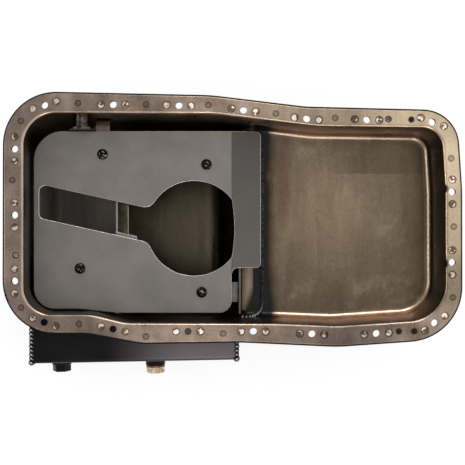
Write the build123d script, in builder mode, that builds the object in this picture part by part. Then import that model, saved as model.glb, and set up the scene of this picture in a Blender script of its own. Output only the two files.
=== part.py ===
from build123d import *
from math import atan2, cos, degrees, radians, sin, sqrt, tan
import os

os.makedirs("parts", exist_ok=True)

# The origin lies in the gasket face, at the middle of the pan's length.
# X runs along the engine, Y across it and Z up to the block: the pan hangs below Z = 0.

# ---------------------------------------------------------------- gasket rail
rail_sheet = 1.6
rail_edge_round = 1.2
rail_outline = [
    ((-220.2, -108.9), 50.0),
    ((-139.0, -108.9), 60.0),
    ((-88.0, -118.6), 60.0),
    ((9.0, -117.2), 200.0),
    ((101.0, -121.5), 150.0),
    ((220.2, -113.1), 52.0),
    ((219.9, 28.0), 200.0),
    ((215.0, 103.9), 34.0),
    ((70.0, 107.5), 120.0),
    ((-21.0, 118.5), 150.0),
    ((-219.7, 122.8), 50.0),
]

# The opening is the inner edge of the rail, where the pressed walls turn down.
opening_outline = [
    ((-200.8, -91.2), 26.5),
    ((-136.0, -91.2), 60.0),
    ((-103.0, -99.4), 60.0),
    ((45.0, -99.9), 300.0),
    ((100.0, -102.2), 150.0),
    ((204.9, -95.2), 36.0),
    ((204.6, 28.0), 200.0),
    ((201.0, 88.0), 20.0),
    ((80.0, 89.6), 120.0),
    ((-18.0, 101.8), 150.0),
    ((-200.8, 102.6), 31.0),
]
opening_bend = 3.0
# A thumb notch in the bend beside each bolt of the right rail.
bend_notch_d = 7.4
bend_notch_depth = 1.0
bend_notches = [(204.2, 29.7), (204.4, -42.3)]

# ---------------------------------------------------------------- rail bolts
bolt_hole_d = 6.8
# Each bolt: X, Y and the direction of the rail there, in degrees.
rear_bolts = [
    (-180.8, 110.0, 17.0),
    (-114.8, 110.6, 0.0),
    (-51.6, 109.8, -2.0),
    (10.6, 105.2, -7.0),
    (71.4, 97.0, -6.0),
    (129.3, 96.0, -2.0),
    (192.1, 93.7, -20.0),
]
front_bolts = [
    (-181.0, -98.8, -19.0),
    (-114.8, -105.3, -12.0),
    (-42.6, -107.5, 0.0),
    (20.1, -107.7, 0.0),
    (76.5, -110.2, -2.0),
    (138.4, -109.8, 4.0),
    (194.5, -99.6, 36.0),
]
left_bolts = [(-209.6, 67.9, 90.0), (-209.6, 4.3, 90.0), (-209.6, -59.2, 90.0)]
right_bolts = [(211.4, 26.6, 90.0), (211.4, -41.3, 90.0)]
rail_bolts = rear_bolts + front_bolts + left_bolts + right_bolts

# A pressed cup on each side of every bolt keeps the gasket from being crushed.
cup_pitch = 11.8
cup_mouth_d = 7.8
cup_floor_d = 5.6
cup_depth = 1.3
cup_wall = 0.9

# Two pressed-in pins locate the gasket.
dowel_hole_d = 5.0
dowel_fit = 0.05
dowel_chamfer = 0.7
dowel_holes = [(149.9, 96.5), (-208.8, -34.4)]

# Shallow round recesses where the press located the sheet.
recess_d = 5.8
recess_depth = 0.6
recesses = [(171.9, 96.0), (159.9, -107.6), (174.6, -107.4)]

# ---------------------------------------------------------------- rail stiffener
stiffener_sheet = 4.0
stiffener_lip = 1.3
stiffener_clearance = 0.3

# ---------------------------------------------------------------- pressed tub
tub_sheet = 1.6
tub_draft = 2.0
shallow_depth = 58.0
sump_depth = 140.0
ramp_top_x = 10.0
ramp_foot_x = -14.0
ramp_top_round = 8.0
ramp_foot_round = 16.0
floor_round = 7.0

# ---------------------------------------------------------------- kick-out box
kickout_sheet = 2.0
kickout_top_depth = 35.0
kickout_left_x = -203.0
kickout_right_x = 6.5
kickout_front_left_y = -144.0
kickout_front_right_y = -140.0
kickout_bend = 3.0
kickout_end_back_y = -69.0
weld_gap = 0.3
window_left_x = -186.0
window_right_x = -20.0
window_top_depth = 52.0
window_bottom_depth = 128.0
window_corner = 8.0

# ---------------------------------------------------------------- weld beads
bead_radius = 2.5
bead_valley = 1.7
bead_step = 4.15
bead_peak = 0.7
corner_blob = 3.2
bead_inset = 1.0
seam_bead_r = 2.4
seam_floor_x = 30.4
seam_rear_y = 72.0
seam_turn_y = -84.0
seam_wall_y = -98.3
seam_wall_depth = 50.0
seam_wall_x = 14.0
seam_left_x = 9.0

# ---------------------------------------------------------------- windage tray
tray_sheet = 1.5
tray_depth = 30.0
tray_left_x = -197.5
tray_rear_y = 88.2
tray_front_y = -92.4
tray_front_left_y = -88.4
tray_step_left_x = -152.0
tray_step_right_x = -114.0
tray_fold_x = -0.2
tray_right_x = -0.9
tray_fold_angle = 12.0
tray_fold_round = 3.0
tray_wing_x = 28.4
tray_wing_front_y = -47.7
tray_rear_left_round = 29.0
tray_front_left_round = 21.0
tray_front_right_round = 12.0
tray_wing_round = 4.5
tray_notch_round = 7.0
pickup_hole_x = -38.2
pickup_hole_y = -8.3
pickup_hole_r = 47.1
pickup_hole_right_x = 1.9
pickup_hole_right_r = 157.0
slot_left_x = -192.0
slot_rear_left_y = 35.5
slot_front_left_y = 2.0
slot_slope = -0.222
slot_corner = 6.0
slot_throat_round = 12.0

# ---------------------------------------------------------------- tray fasteners
screw_d = 6.0
screw_hole_d = 6.6
screw_head_d = 10.6
screw_head_h = 3.3
screw_head_round = 2.4
screw_socket_af = 4.0
screw_socket_depth = 2.0
screw_length = 10.0
screw_fit = 0.05
nut_af = 10.0
nut_h = 5.0
rear_left_screw = (-129.1, 65.1)
rear_right_screw = (-25.8, 55.1)
front_left_screw = (-151.4, -48.2)
front_right_screw = (-30.6, -71.8)

# ---------------------------------------------------------------- baffles and brackets
baffle_sheet = 1.6
baffle_gap = 2.5
left_baffle_x = -116.2
right_baffle_x = 6.5
rear_baffle_y = 66.0
baffle_front_y = -93.4
bracket_sheet = 2.0
bracket_width = 20.0
bracket_overhang = 10.0
bracket_leg = 22.0
bracket_bend = 3.0
wall_bracket_width = 14.0
wall_bracket_bend = 7.0
# A tab on top of the left baffle holds up the front edge of the slot.
tray_rest_length = 21.0
tray_rest_width = 16.0
tray_rest_show = 3.3

# ---------------------------------------------------------------- trap doors
door_sheet = 1.2
door_overlap = 3.0
door_window_width = 42.0
door_foot_round = 4.0
hinge_pin_d = 2.5
hinge_wall_gap = 0.35
hinge_knuckle_d = 5.0
hinge_running_fit = 0.08
hinge_side_gap = 0.5
hinge_ear_sheet = 2.0
hinge_ear_width = 8.0
pin_head_d = 3.0
pin_head_h = 1.0
left_door_y = -52.0
left_door_top_depth = 84.0
left_door_height = 40.0
right_door_y = -12.0
right_door_top_depth = 42.0
right_door_height = 20.0

# ---------------------------------------------------------------- drain and level fittings
fitting_depth = 112.0
drain_x = -83.4
level_inset = 18.5
level_x = kickout_left_x + level_inset
bung_d = 21.0
drain_bung_stand = 14.0
level_bung_stand = 11.5
bung_thread_d = 14.0
plug_thread_fit = 0.05
plug_thread_length = 18.0
washer_od = 20.0
washer_h = 1.6
plug_head_af = 17.0
plug_head_h = 6.5
fitting_chamfer = 1.0
level_head_h = 7.0

# ---------------------------------------------------------------- wall fitting
wall_fitting_x = -148.8
wall_fitting_depth = 25.0
wall_fitting_d = 16.5
wall_fitting_reach = 10.2
wall_fitting_fit = 0.1
wall_fitting_head_af = 22.0
wall_fitting_head_h = 6.0
wall_fitting_head_gap = 0.4
deflector_d = 25.5
deflector_h = 2.5

# ---------------------------------------------------------------- worked-out heights
rail_under = -rail_sheet
pan_bottom_z = -(sump_depth + tub_sheet)
tray_under_z = -(tray_depth + tray_sheet)
baffle_top_z = tray_under_z - baffle_gap

# ---------------------------------------------------------------- room for trimming
# Blanks start larger than the piece and are trimmed, so every cut passes right through.
tub_reach = 260.0
trim_room = 20.0
right_end_overlap = 8.0
level_span = 150.0
edge_fit = 0.1


def draft_inset(depth):
    """How far the drafted wall has moved inwards at a depth."""
    return depth * tan(radians(tub_draft))


def outline_face(corners, grow=0.0, plane=Plane.XY):
    """Face with a rounded outline, grown by an amount."""
    with BuildSketch(plane) as face:
        with BuildLine():
            FilletPolyline(
                *[point for point, _ in corners],
                radius=[radius for _, radius in corners],
                close=True,
            )
        make_face()
        if grow:
            offset(amount=grow)
    return face.sketch


def tub_section(grow):
    """Long section of the pan: shallow floor, ramp and sump floor."""
    with BuildSketch(Plane.XZ) as section:
        with BuildLine():
            FilletPolyline(
                (-tub_reach, trim_room),
                (tub_reach, trim_room),
                (tub_reach, -shallow_depth),
                (ramp_top_x, -shallow_depth),
                (ramp_foot_x, -sump_depth),
                (-tub_reach, -sump_depth),
                radius=[0, 0, 0, ramp_top_round, ramp_foot_round, 0],
                close=True,
            )
        make_face()
        if grow:
            offset(amount=grow)
    return section.sketch


def tub_form(grow):
    """Solid of the tub: its drafted outline cut to its long section."""
    outline = outline_face(opening_outline, grow)
    section = tub_section(grow)
    with BuildPart() as form:
        extrude(outline, amount=-(sump_depth + trim_room), taper=tub_draft)
        extrude(section, amount=tub_reach, both=True, mode=Mode.INTERSECT)
        low_edges = form.edges().filter_by(
            lambda e: e.bounding_box().max.Z < floor_round - shallow_depth
        )
        # The edges straight across the ramp stay as the section rounds them.
        rim = low_edges.filter_by(
            lambda e: abs(e.center().X) > level_span or e.bounding_box().size.X > edge_fit
        )
        fillet(rim, floor_round + grow)
    return form.part


tub_outside = tub_form(tub_sheet)
tub_inside = tub_form(0.0)


def cup_points():
    """The two cup centres beside every bolt."""
    points = []
    for x, y, direction in rail_bolts:
        for side in (-1, 1):
            dx = side * cup_pitch * cos(radians(direction))
            dy = side * cup_pitch * sin(radians(direction))
            points.append((x + dx, y + dy))
    return points


bolt_points = [(x, y) for x, y, _ in rail_bolts]
rail_face = outline_face(rail_outline)


# ---------------------------------------------------------------- kick-out layout
kickout_run = kickout_right_x - kickout_left_x
kickout_angle = degrees(atan2(kickout_front_right_y - kickout_front_left_y, kickout_run))
channel_left_x = kickout_left_x + kickout_sheet
channel_right_x = kickout_right_x - kickout_sheet
kickout_top_z = -kickout_top_depth
end_plate_top_z = kickout_top_z - bead_inset


def kickout_front_y(x):
    """Outer face of the kick-out's front at a place along the pan."""
    slope = tan(radians(kickout_angle))
    return kickout_front_left_y + (x - kickout_left_x) * slope


def kickout_plane(x, depth):
    """Plane on the kick-out's front face, looking outwards."""
    heading = radians(kickout_angle)
    return Plane(
        origin=(x, kickout_front_y(x), -depth),
        x_dir=(cos(heading), sin(heading), 0),
        z_dir=(sin(heading), -cos(heading), 0),
    )


def rear_wall_y(x):
    """Inner edge of the opening along the straight left part of the rear rail."""
    (x1, y1), (x2, y2) = opening_outline[-2][0], opening_outline[-1][0]
    return y1 + (x - x1) * (y2 - y1) / (x2 - x1)


fitting_wall_y = rear_wall_y(wall_fitting_x) - draft_inset(wall_fitting_depth)
fitting_axis = Plane(
    origin=(wall_fitting_x, fitting_wall_y, -wall_fitting_depth),
    x_dir=(1, 0, 0),
    z_dir=(0, 1, 0),
)
window_width = window_right_x - window_left_x
window_height = window_bottom_depth - window_top_depth
window_mid_x = (window_left_x + window_right_x) / 2
window_mid_z = -(window_top_depth + window_bottom_depth) / 2
window_near = 70.0
window_through = 40.0

# ---------------------------------------------------------------- pan shell
with BuildPart() as pan_shell:
    extrude(rail_face, amount=-rail_sheet)
    top_rim = pan_shell.faces().sort_by(Axis.Z)[-1].edges()
    fillet(top_rim, rail_edge_round)
    add(tub_outside)
    with Locations([(x, y, rail_under) for x, y in cup_points()]):
        Cone(
            bottom_radius=cup_floor_d / 2 + cup_wall,
            top_radius=cup_mouth_d / 2 + cup_wall,
            height=cup_depth,
            align=(Align.CENTER, Align.CENTER, Align.MAX),
        )
    add(tub_inside, mode=Mode.SUBTRACT)
    mouth = pan_shell.faces().filter_by(Plane.XY).sort_by(Axis.Z)[-1].inner_wires()
    fillet(mouth[0].edges(), opening_bend)
    with Locations([(x, y, 0) for x, y in cup_points()]):
        Cone(
            bottom_radius=cup_floor_d / 2,
            top_radius=cup_mouth_d / 2,
            height=cup_depth,
            align=(Align.CENTER, Align.CENTER, Align.MAX),
            mode=Mode.SUBTRACT,
        )
    with Locations(*bend_notches):
        Cylinder(
            bend_notch_d / 2,
            bend_notch_depth,
            align=(Align.CENTER, Align.CENTER, Align.MAX),
            mode=Mode.SUBTRACT,
        )
    with Locations(*bolt_points):
        Hole(bolt_hole_d / 2, depth=rail_sheet)
    with Locations(*dowel_holes):
        Hole(dowel_hole_d / 2, depth=rail_sheet)
    with Locations(*recesses):
        Cylinder(
            recess_d / 2,
            recess_depth,
            align=(Align.CENTER, Align.CENTER, Align.MAX),
            mode=Mode.SUBTRACT,
        )
    # The sump's front wall opens into the kick-out.
    with BuildSketch(Plane.XZ.offset(window_near)):
        with Locations((window_mid_x, window_mid_z)):
            RectangleRounded(window_width, window_height, window_corner)
    extrude(amount=window_through, mode=Mode.SUBTRACT)
    # The wall fitting passes through the rear wall.
    with BuildSketch(fitting_axis):
        Circle(wall_fitting_d / 2 + wall_fitting_fit)
    extrude(amount=3 * tub_sheet, both=True, mode=Mode.SUBTRACT)
pan_shell.part.label = "pan_shell"
export_step(pan_shell.part, "parts/pan_shell.step")

# ---------------------------------------------------------------- rail stiffener
stiffener_face = outline_face(rail_outline, stiffener_lip)
stiffener_opening = outline_face(opening_outline, tub_sheet + stiffener_clearance)
with BuildPart() as rail_stiffener:
    with BuildSketch(Plane.XY.offset(rail_under)):
        add(stiffener_face)
        add(stiffener_opening, mode=Mode.SUBTRACT)
        with Locations(*bolt_points):
            Circle(bolt_hole_d / 2, mode=Mode.SUBTRACT)
        with Locations(*dowel_holes):
            Circle(dowel_hole_d / 2, mode=Mode.SUBTRACT)
        with Locations(*cup_points()):
            Circle(cup_mouth_d / 2 + cup_wall + stiffener_clearance, mode=Mode.SUBTRACT)
    extrude(amount=-stiffener_sheet)
rail_stiffener.part.label = "rail_stiffener"
export_step(rail_stiffener.part, "parts/rail_stiffener.step")

with BuildPart() as gasket_pins:
    with BuildSketch(Plane.XY):
        with Locations(*dowel_holes):
            Circle(dowel_hole_d / 2 - dowel_fit)
    extrude(amount=-(rail_sheet + stiffener_sheet))
    pin_tops = gasket_pins.faces().filter_by(Plane.XY).group_by(Axis.Z)[-1]
    chamfer(pin_tops.edges(), dowel_chamfer)
gasket_pins.part.label = "gasket_pins"
export_step(gasket_pins.part, "parts/gasket_pins.step")

# ---------------------------------------------------------------- kick-out channel
channel_plane = Plane(
    origin=(kickout_left_x, kickout_front_left_y, 0),
    x_dir=(-sin(radians(kickout_angle)), cos(radians(kickout_angle)), 0),
    z_dir=(cos(radians(kickout_angle)), sin(radians(kickout_angle)), 0),
)
channel_reach = kickout_end_back_y - kickout_front_left_y
channel_top_grow = tub_sheet - draft_inset(kickout_top_depth) + weld_gap
foot_round = floor_round + tub_sheet
foot_toe = foot_round - sqrt(foot_round**2 - (foot_round - kickout_sheet) ** 2)
channel_foot_grow = tub_sheet - draft_inset(sump_depth) - foot_toe + weld_gap


def channel_section(inset, corner):
    """Rounded section of the kick-out, inset from its outer faces."""
    top = kickout_top_z - inset
    foot = pan_bottom_z + inset
    corners = [
        ((inset, top), corner),
        ((channel_reach, top), 0),
        ((channel_reach, foot), 0),
        ((inset, foot), corner),
    ]
    return outline_face(corners, plane=channel_plane)


tub_top_cut = outline_face(
    opening_outline, channel_top_grow, Plane.XY.offset(kickout_top_z - kickout_sheet)
)
tub_foot_cut = outline_face(opening_outline, channel_foot_grow, Plane.XY.offset(pan_bottom_z))
with BuildPart() as kickout_channel:
    extrude(channel_section(0, kickout_bend + kickout_sheet), amount=kickout_run + trim_room)
    extrude(
        channel_section(kickout_sheet, kickout_bend),
        amount=kickout_run + trim_room,
        mode=Mode.SUBTRACT,
    )
    with BuildSketch(Plane.XY.offset(pan_bottom_z)):
        with Locations(((channel_left_x + channel_right_x) / 2, kickout_front_left_y)):
            Rectangle(channel_right_x - channel_left_x, 4 * channel_reach)
    extrude(amount=sump_depth, mode=Mode.INTERSECT)
    extrude(tub_top_cut, amount=kickout_sheet, mode=Mode.SUBTRACT)
    extrude(tub_foot_cut, amount=kickout_sheet, mode=Mode.SUBTRACT)
    for x in (drain_x, level_x):
        with BuildSketch(kickout_plane(x, fitting_depth)):
            Circle(bung_thread_d / 2)
        extrude(amount=-2 * kickout_sheet, mode=Mode.SUBTRACT)
kickout_channel.part.label = "kickout_channel"
export_step(kickout_channel.part, "parts/kickout_channel.step")


# ---------------------------------------------------------------- kick-out ends
def end_plate(outer_x, inward, front_y, back_y):
    """Flat plate that closes one end of the kick-out channel."""
    corners = [
        ((front_y + bead_inset, end_plate_top_z), bead_inset),
        ((back_y, end_plate_top_z), 0),
        ((back_y, pan_bottom_z), 0),
        ((front_y + bead_inset, pan_bottom_z), kickout_bend),
    ]
    plate_face = outline_face(corners, plane=Plane.YZ.offset(outer_x))
    with BuildPart() as plate:
        extrude(plate_face, amount=inward * kickout_sheet)
    return plate.part


tub_end_cut = outline_face(opening_outline, channel_top_grow, Plane.XY)
with BuildPart() as kickout_left_end:
    add(end_plate(kickout_left_x, 1, kickout_front_left_y, kickout_end_back_y))
    extrude(
        tub_end_cut,
        amount=-(sump_depth + trim_room),
        taper=tub_draft,
        mode=Mode.SUBTRACT,
    )
kickout_left_end.part.label = "kickout_left_end"
export_step(kickout_left_end.part, "parts/kickout_left_end.step")

front_wall_y = opening_outline[3][0][1] - tub_sheet
with BuildPart() as kickout_right_end:
    right_end_back_y = front_wall_y + right_end_overlap
    add(end_plate(kickout_right_x, -1, kickout_front_right_y, right_end_back_y))
    add(tub_outside, mode=Mode.SUBTRACT)
kickout_right_end.part.label = "kickout_right_end"
export_step(kickout_right_end.part, "parts/kickout_right_end.step")

# The ramp rises before the kick-out ends, and a gusset closes the corner below it.
gusset_y = front_wall_y + draft_inset(sump_depth)
with BuildPart() as kickout_gusset:
    with BuildSketch(Plane.XY.offset(pan_bottom_z + kickout_sheet)):
        with Locations((channel_right_x, gusset_y)):
            Rectangle(
                channel_right_x - ramp_foot_x,
                kickout_sheet,
                align=(Align.MAX, Align.MAX),
            )
    extrude(amount=sump_depth - shallow_depth)
    add(tub_outside, mode=Mode.SUBTRACT)
kickout_gusset.part.label = "kickout_gusset"
export_step(kickout_gusset.part, "parts/kickout_gusset.step")


# ---------------------------------------------------------------- weld beads
def weld_run(start, along, lift, length):
    """Quarter-round bead with one ripple for every step of the torch."""
    ripples = max(1, round(length / bead_step))
    step = length / ripples
    plane = Plane(origin=start, x_dir=along, z_dir=Vector(*along).cross(Vector(*lift)))
    with BuildPart() as bead:
        with BuildSketch(plane):
            with BuildLine():
                points = [(0, 0)]
                for i in range(ripples):
                    points.append((i * step, bead_valley))
                    points.append(((i + bead_peak) * step, bead_radius))
                points.append((length, bead_valley))
                points.append((length, 0))
                Polyline(*points, close=True)
            make_face()
        revolve(axis=Axis(start, along), revolution_arc=90)
    return bead.part


def end_weld(seam_x, side, front_y, back_y):
    """Weld of one end plate: along the top, round the corner and down the front."""
    corner = (seam_x, front_y + bead_inset, end_plate_top_z)
    top_run = front_y + bead_inset - back_y
    front_run = end_plate_top_z - pan_bottom_z - kickout_bend - kickout_sheet
    if side < 0:
        top_start, top_along = (seam_x, back_y, end_plate_top_z), (0, -1, 0)
        front_start, front_along = corner, (0, 0, -1)
    else:
        top_start, top_along = corner, (0, 1, 0)
        front_start = (corner[0], corner[1], corner[2] - front_run)
        front_along = (0, 0, 1)
    with BuildPart() as weld:
        add(weld_run(top_start, top_along, (0, 0, 1), abs(top_run)))
        add(weld_run(front_start, front_along, (0, -1, 0), front_run))
        with Locations(corner):
            Sphere(corner_blob)
        with Locations((seam_x, corner[1], corner[2])):
            Box(
                2 * corner_blob,
                4 * corner_blob,
                4 * corner_blob,
                align=(Align.MIN if side < 0 else Align.MAX, Align.CENTER, Align.CENTER),
                mode=Mode.SUBTRACT,
            )
            Box(
                2 * corner_blob,
                2 * corner_blob,
                2 * corner_blob,
                align=(Align.MAX if side < 0 else Align.MIN, Align.MIN, Align.MAX),
                mode=Mode.SUBTRACT,
            )
    return weld.part


with BuildPart() as left_end_weld:
    add(end_weld(channel_left_x, -1, kickout_front_left_y, kickout_end_back_y))
    add(tub_outside, mode=Mode.SUBTRACT)
left_end_weld.part.label = "left_end_weld"
export_step(left_end_weld.part, "parts/left_end_weld.step")

with BuildPart() as right_end_weld:
    add(end_weld(channel_right_x, 1, kickout_front_right_y, front_wall_y))
    add(tub_outside, mode=Mode.SUBTRACT)
right_end_weld.part.label = "right_end_weld"
export_step(right_end_weld.part, "parts/right_end_weld.step")

# The seam that joins the deep sump to the shallow bay runs across the floor, round the front
# corner and back along the front wall.
floor_rear = (seam_floor_x, seam_rear_y, -shallow_depth)
floor_turn = (seam_floor_x, seam_turn_y, -shallow_depth)
wall_turn = (seam_wall_x, seam_wall_y, -seam_wall_depth)
wall_left = (seam_left_x, seam_wall_y, -seam_wall_depth)
with BuildPart() as ramp_weld:
    with BuildLine() as seam:
        Line(floor_rear, floor_turn)
        Spline(floor_turn, wall_turn, tangents=((0, -1, 0), (-1, 0, 0)))
        Line(wall_turn, wall_left)
    with BuildSketch(Plane(origin=floor_rear, z_dir=(0, -1, 0))):
        Circle(seam_bead_r)
    sweep(path=seam.wires()[0])
    add(tub_inside, mode=Mode.INTERSECT)
ramp_weld.part.label = "ramp_weld"
export_step(ramp_weld.part, "parts/ramp_weld.step")

# ---------------------------------------------------------------- windage tray
screw_points = [rear_left_screw, rear_right_screw, front_left_screw, front_right_screw]
tray_outline = [
    ((tray_left_x, tray_front_left_y), tray_front_left_round),
    ((tray_step_left_x, tray_front_left_y), 40.0),
    ((tray_step_right_x, tray_front_y), 40.0),
    ((tray_right_x, tray_front_y), tray_front_right_round),
    ((tray_right_x, tray_wing_front_y), tray_notch_round),
    ((tray_wing_x, tray_wing_front_y), tray_wing_round),
    ((tray_wing_x, tray_rear_y), tray_wing_round),
    ((tray_left_x, tray_rear_y), tray_rear_left_round),
]
tray_blank_z = -(tray_depth + 2 * trim_room)
tray_plan = outline_face(tray_outline, plane=Plane.XY.offset(tray_blank_z))
fold = radians(tray_fold_angle)
wing_run = tray_wing_x + trim_room - tray_fold_x
wing_drop = wing_run * tan(fold)
fold_shift = tray_sheet * tan(fold / 2)


def slot_y(left_y, x):
    """Y on a slanted side of the slot, from its Y at the closed end."""
    return left_y + (x - slot_left_x) * slot_slope


with BuildSketch(Plane.XY.offset(tray_blank_z)) as tray_cut:
    with Locations((pickup_hole_x, pickup_hole_y)):
        Circle(pickup_hole_r)
    # On the folded wing the hole's edge is a shallower arc.
    with Locations((pickup_hole_right_x - pickup_hole_right_r, pickup_hole_y)):
        Circle(pickup_hole_right_r, mode=Mode.INTERSECT)
    with BuildLine():
        Polyline(
            (slot_left_x, slot_rear_left_y),
            (slot_left_x, slot_front_left_y),
            (pickup_hole_x, slot_y(slot_front_left_y, pickup_hole_x)),
            (pickup_hole_x, slot_y(slot_rear_left_y, pickup_hole_x)),
            close=True,
        )
    make_face()
    fillet(tray_cut.vertices().sort_by(Axis.X)[2:4], slot_throat_round)
    fillet(tray_cut.vertices().sort_by(Axis.X)[0:2], slot_corner)
    with Locations(*screw_points):
        Circle(screw_hole_d / 2)

with BuildPart() as windage_tray:
    with BuildSketch(Plane.XZ):
        with BuildLine():
            FilletPolyline(
                (-tub_reach, -tray_depth),
                (tray_fold_x, -tray_depth),
                (tray_fold_x + wing_run, -tray_depth - wing_drop),
                (tray_fold_x + wing_run, -tray_depth - wing_drop - tray_sheet / cos(fold)),
                (tray_fold_x - fold_shift, tray_under_z),
                (-tub_reach, tray_under_z),
                radius=[0, tray_fold_round + tray_sheet, 0, 0, tray_fold_round, 0],
                close=True,
            )
        make_face()
    extrude(amount=tub_reach, both=True)
    extrude(tray_plan, amount=3 * trim_room, mode=Mode.INTERSECT)
    extrude(tray_cut.sketch, amount=3 * trim_room, mode=Mode.SUBTRACT)
windage_tray.part.label = "windage_tray"
export_step(windage_tray.part, "parts/windage_tray.step")

# ---------------------------------------------------------------- tray screws and nuts
with BuildPart() as tray_screws:
    with BuildSketch(Plane.XY.offset(-tray_depth)):
        with Locations(*screw_points):
            Circle(screw_head_d / 2)
    extrude(amount=screw_head_h)
    head_tops = tray_screws.faces().filter_by(Plane.XY).group_by(Axis.Z)[-1]
    fillet(head_tops.edges(), screw_head_round)
    with BuildSketch(Plane.XY.offset(-tray_depth + screw_head_h)):
        with Locations(*screw_points):
            RegularPolygon(screw_socket_af / 2, 6, major_radius=False)
    extrude(amount=-screw_socket_depth, mode=Mode.SUBTRACT)
    with BuildSketch(Plane.XY.offset(-tray_depth)):
        with Locations(*screw_points):
            Circle(screw_d / 2)
    extrude(amount=-screw_length)
tray_screws.part.label = "tray_screws"
export_step(tray_screws.part, "parts/tray_screws.step")

nut_top_z = tray_under_z - bracket_sheet
with BuildPart() as tray_nuts:
    with BuildSketch(Plane.XY.offset(nut_top_z)):
        with Locations(*screw_points):
            RegularPolygon(nut_af / 2, 6, major_radius=False)
            Circle(screw_d / 2 + screw_fit, mode=Mode.SUBTRACT)
    extrude(amount=-nut_h)
tray_nuts.part.label = "tray_nuts"
export_step(tray_nuts.part, "parts/tray_nuts.step")


# ---------------------------------------------------------------- tray brackets
def tray_bracket(screw, x_dir, reach, width=bracket_width, bend=bracket_bend):
    """Angle bracket: a tab under the screw and a leg against what carries it."""
    seat = Plane(origin=(screw[0], screw[1], tray_under_z), x_dir=x_dir, z_dir=(0, 0, 1))
    side = Plane(origin=seat.origin, x_dir=x_dir, z_dir=seat.y_dir)
    down = -1 if side.y_dir.Z > 0 else 1
    outer = bend + bracket_sheet
    with BuildPart() as bracket:
        with BuildSketch(side):
            with BuildLine():
                FilletPolyline(
                    (-bracket_overhang, 0),
                    (reach, 0),
                    (reach, down * bracket_leg),
                    (reach - bracket_sheet, down * bracket_leg),
                    (reach - bracket_sheet, down * bracket_sheet),
                    (-bracket_overhang, down * bracket_sheet),
                    radius=[0, outer, 0, 0, bend, 0],
                    close=True,
                )
            make_face()
        extrude(amount=width / 2, both=True)
        with BuildSketch(seat):
            Circle(screw_hole_d / 2)
        extrude(amount=bracket_sheet, both=True, mode=Mode.SUBTRACT)
    return bracket.part


wall_reach = rear_wall_y(rear_left_screw[0]) - draft_inset(tray_depth) - rear_left_screw[1]
with BuildPart() as rear_left_bracket:
    add(
        tray_bracket(
            rear_left_screw,
            (0, 1, 0),
            wall_reach,
            wall_bracket_width,
            wall_bracket_bend,
        )
    )
    add(tub_inside, mode=Mode.INTERSECT)
rear_left_bracket.part.label = "rear_left_bracket"
export_step(rear_left_bracket.part, "parts/rear_left_bracket.step")

with BuildPart() as rear_right_bracket:
    add(tray_bracket(rear_right_screw, (0, 1, 0), rear_baffle_y - rear_right_screw[1]))
rear_right_bracket.part.label = "rear_right_bracket"
export_step(rear_right_bracket.part, "parts/rear_right_bracket.step")

with BuildPart() as front_left_bracket:
    add(tray_bracket(front_left_screw, (1, 0, 0), left_baffle_x - front_left_screw[0]))
front_left_bracket.part.label = "front_left_bracket"
export_step(front_left_bracket.part, "parts/front_left_bracket.step")

with BuildPart() as front_right_bracket:
    add(tray_bracket(front_right_screw, (1, 0, 0), right_baffle_x - front_right_screw[0]))
front_right_bracket.part.label = "front_right_bracket"
export_step(front_right_bracket.part, "parts/front_right_bracket.step")

# ---------------------------------------------------------------- tray rest
rest_right_x = left_baffle_x + tray_rest_length
rest_rear_y = slot_front_left_y + tray_rest_show
with BuildPart() as tray_rest:
    with BuildSketch(Plane.XY.offset(baffle_top_z)):
        with BuildLine():
            Polyline(
                (left_baffle_x, slot_y(rest_rear_y, left_baffle_x)),
                (rest_right_x, slot_y(rest_rear_y, rest_right_x)),
                (rest_right_x, slot_y(rest_rear_y, rest_right_x) - tray_rest_width),
                (left_baffle_x, slot_y(rest_rear_y, left_baffle_x) - tray_rest_width),
                close=True,
            )
        make_face()
    extrude(amount=bracket_sheet)
tray_rest.part.label = "tray_rest"
export_step(tray_rest.part, "parts/tray_rest.step")

# ---------------------------------------------------------------- baffles
# The leaf hangs straight below its pin, so it closes under its own weight.
hinge_reach = hinge_pin_d / 2 + hinge_wall_gap
leaf_width = door_window_width + 2 * door_overlap
knuckle_length = door_window_width - 2 * hinge_side_gap
knuckle_clearance = hinge_knuckle_d / 2 + hinge_side_gap
ear_y = leaf_width / 2 + hinge_side_gap + hinge_ear_sheet / 2


def baffle_plate(x, near_y, far_y, door_side, door_y, pin_z, door_height):
    """Cross baffle with a window for its trap door and two ears for the hinge pin."""
    face_x = x + baffle_sheet if door_side > 0 else x
    pin_x = face_x + door_side * hinge_reach
    with BuildPart() as plate:
        with BuildSketch(Plane.YZ.offset(x)):
            with Locations((near_y, baffle_top_z)):
                Rectangle(far_y - near_y, sump_depth, align=(Align.MIN, Align.MAX))
            with Locations((door_y, pin_z + knuckle_clearance)):
                Rectangle(
                    door_window_width,
                    door_height + knuckle_clearance,
                    align=(Align.CENTER, Align.MAX),
                    mode=Mode.SUBTRACT,
                )
        extrude(amount=baffle_sheet)
        add(tub_inside, mode=Mode.INTERSECT)
        for y in (door_y - ear_y, door_y + ear_y):
            with BuildSketch(Plane.XZ.offset(-y)):
                with Locations((pin_x, pin_z)):
                    Circle(hinge_ear_width / 2)
                    Rectangle(
                        hinge_reach,
                        hinge_ear_width,
                        align=(Align.MAX if door_side > 0 else Align.MIN, Align.CENTER),
                    )
                    Circle(hinge_pin_d / 2 + screw_fit, mode=Mode.SUBTRACT)
                with Locations((face_x, pin_z)):
                    Rectangle(
                        hinge_ear_width,
                        2 * hinge_ear_width,
                        align=(Align.MAX if door_side > 0 else Align.MIN, Align.CENTER),
                        mode=Mode.SUBTRACT,
                    )
            extrude(amount=hinge_ear_sheet / 2, both=True)
    return plate.part


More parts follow.
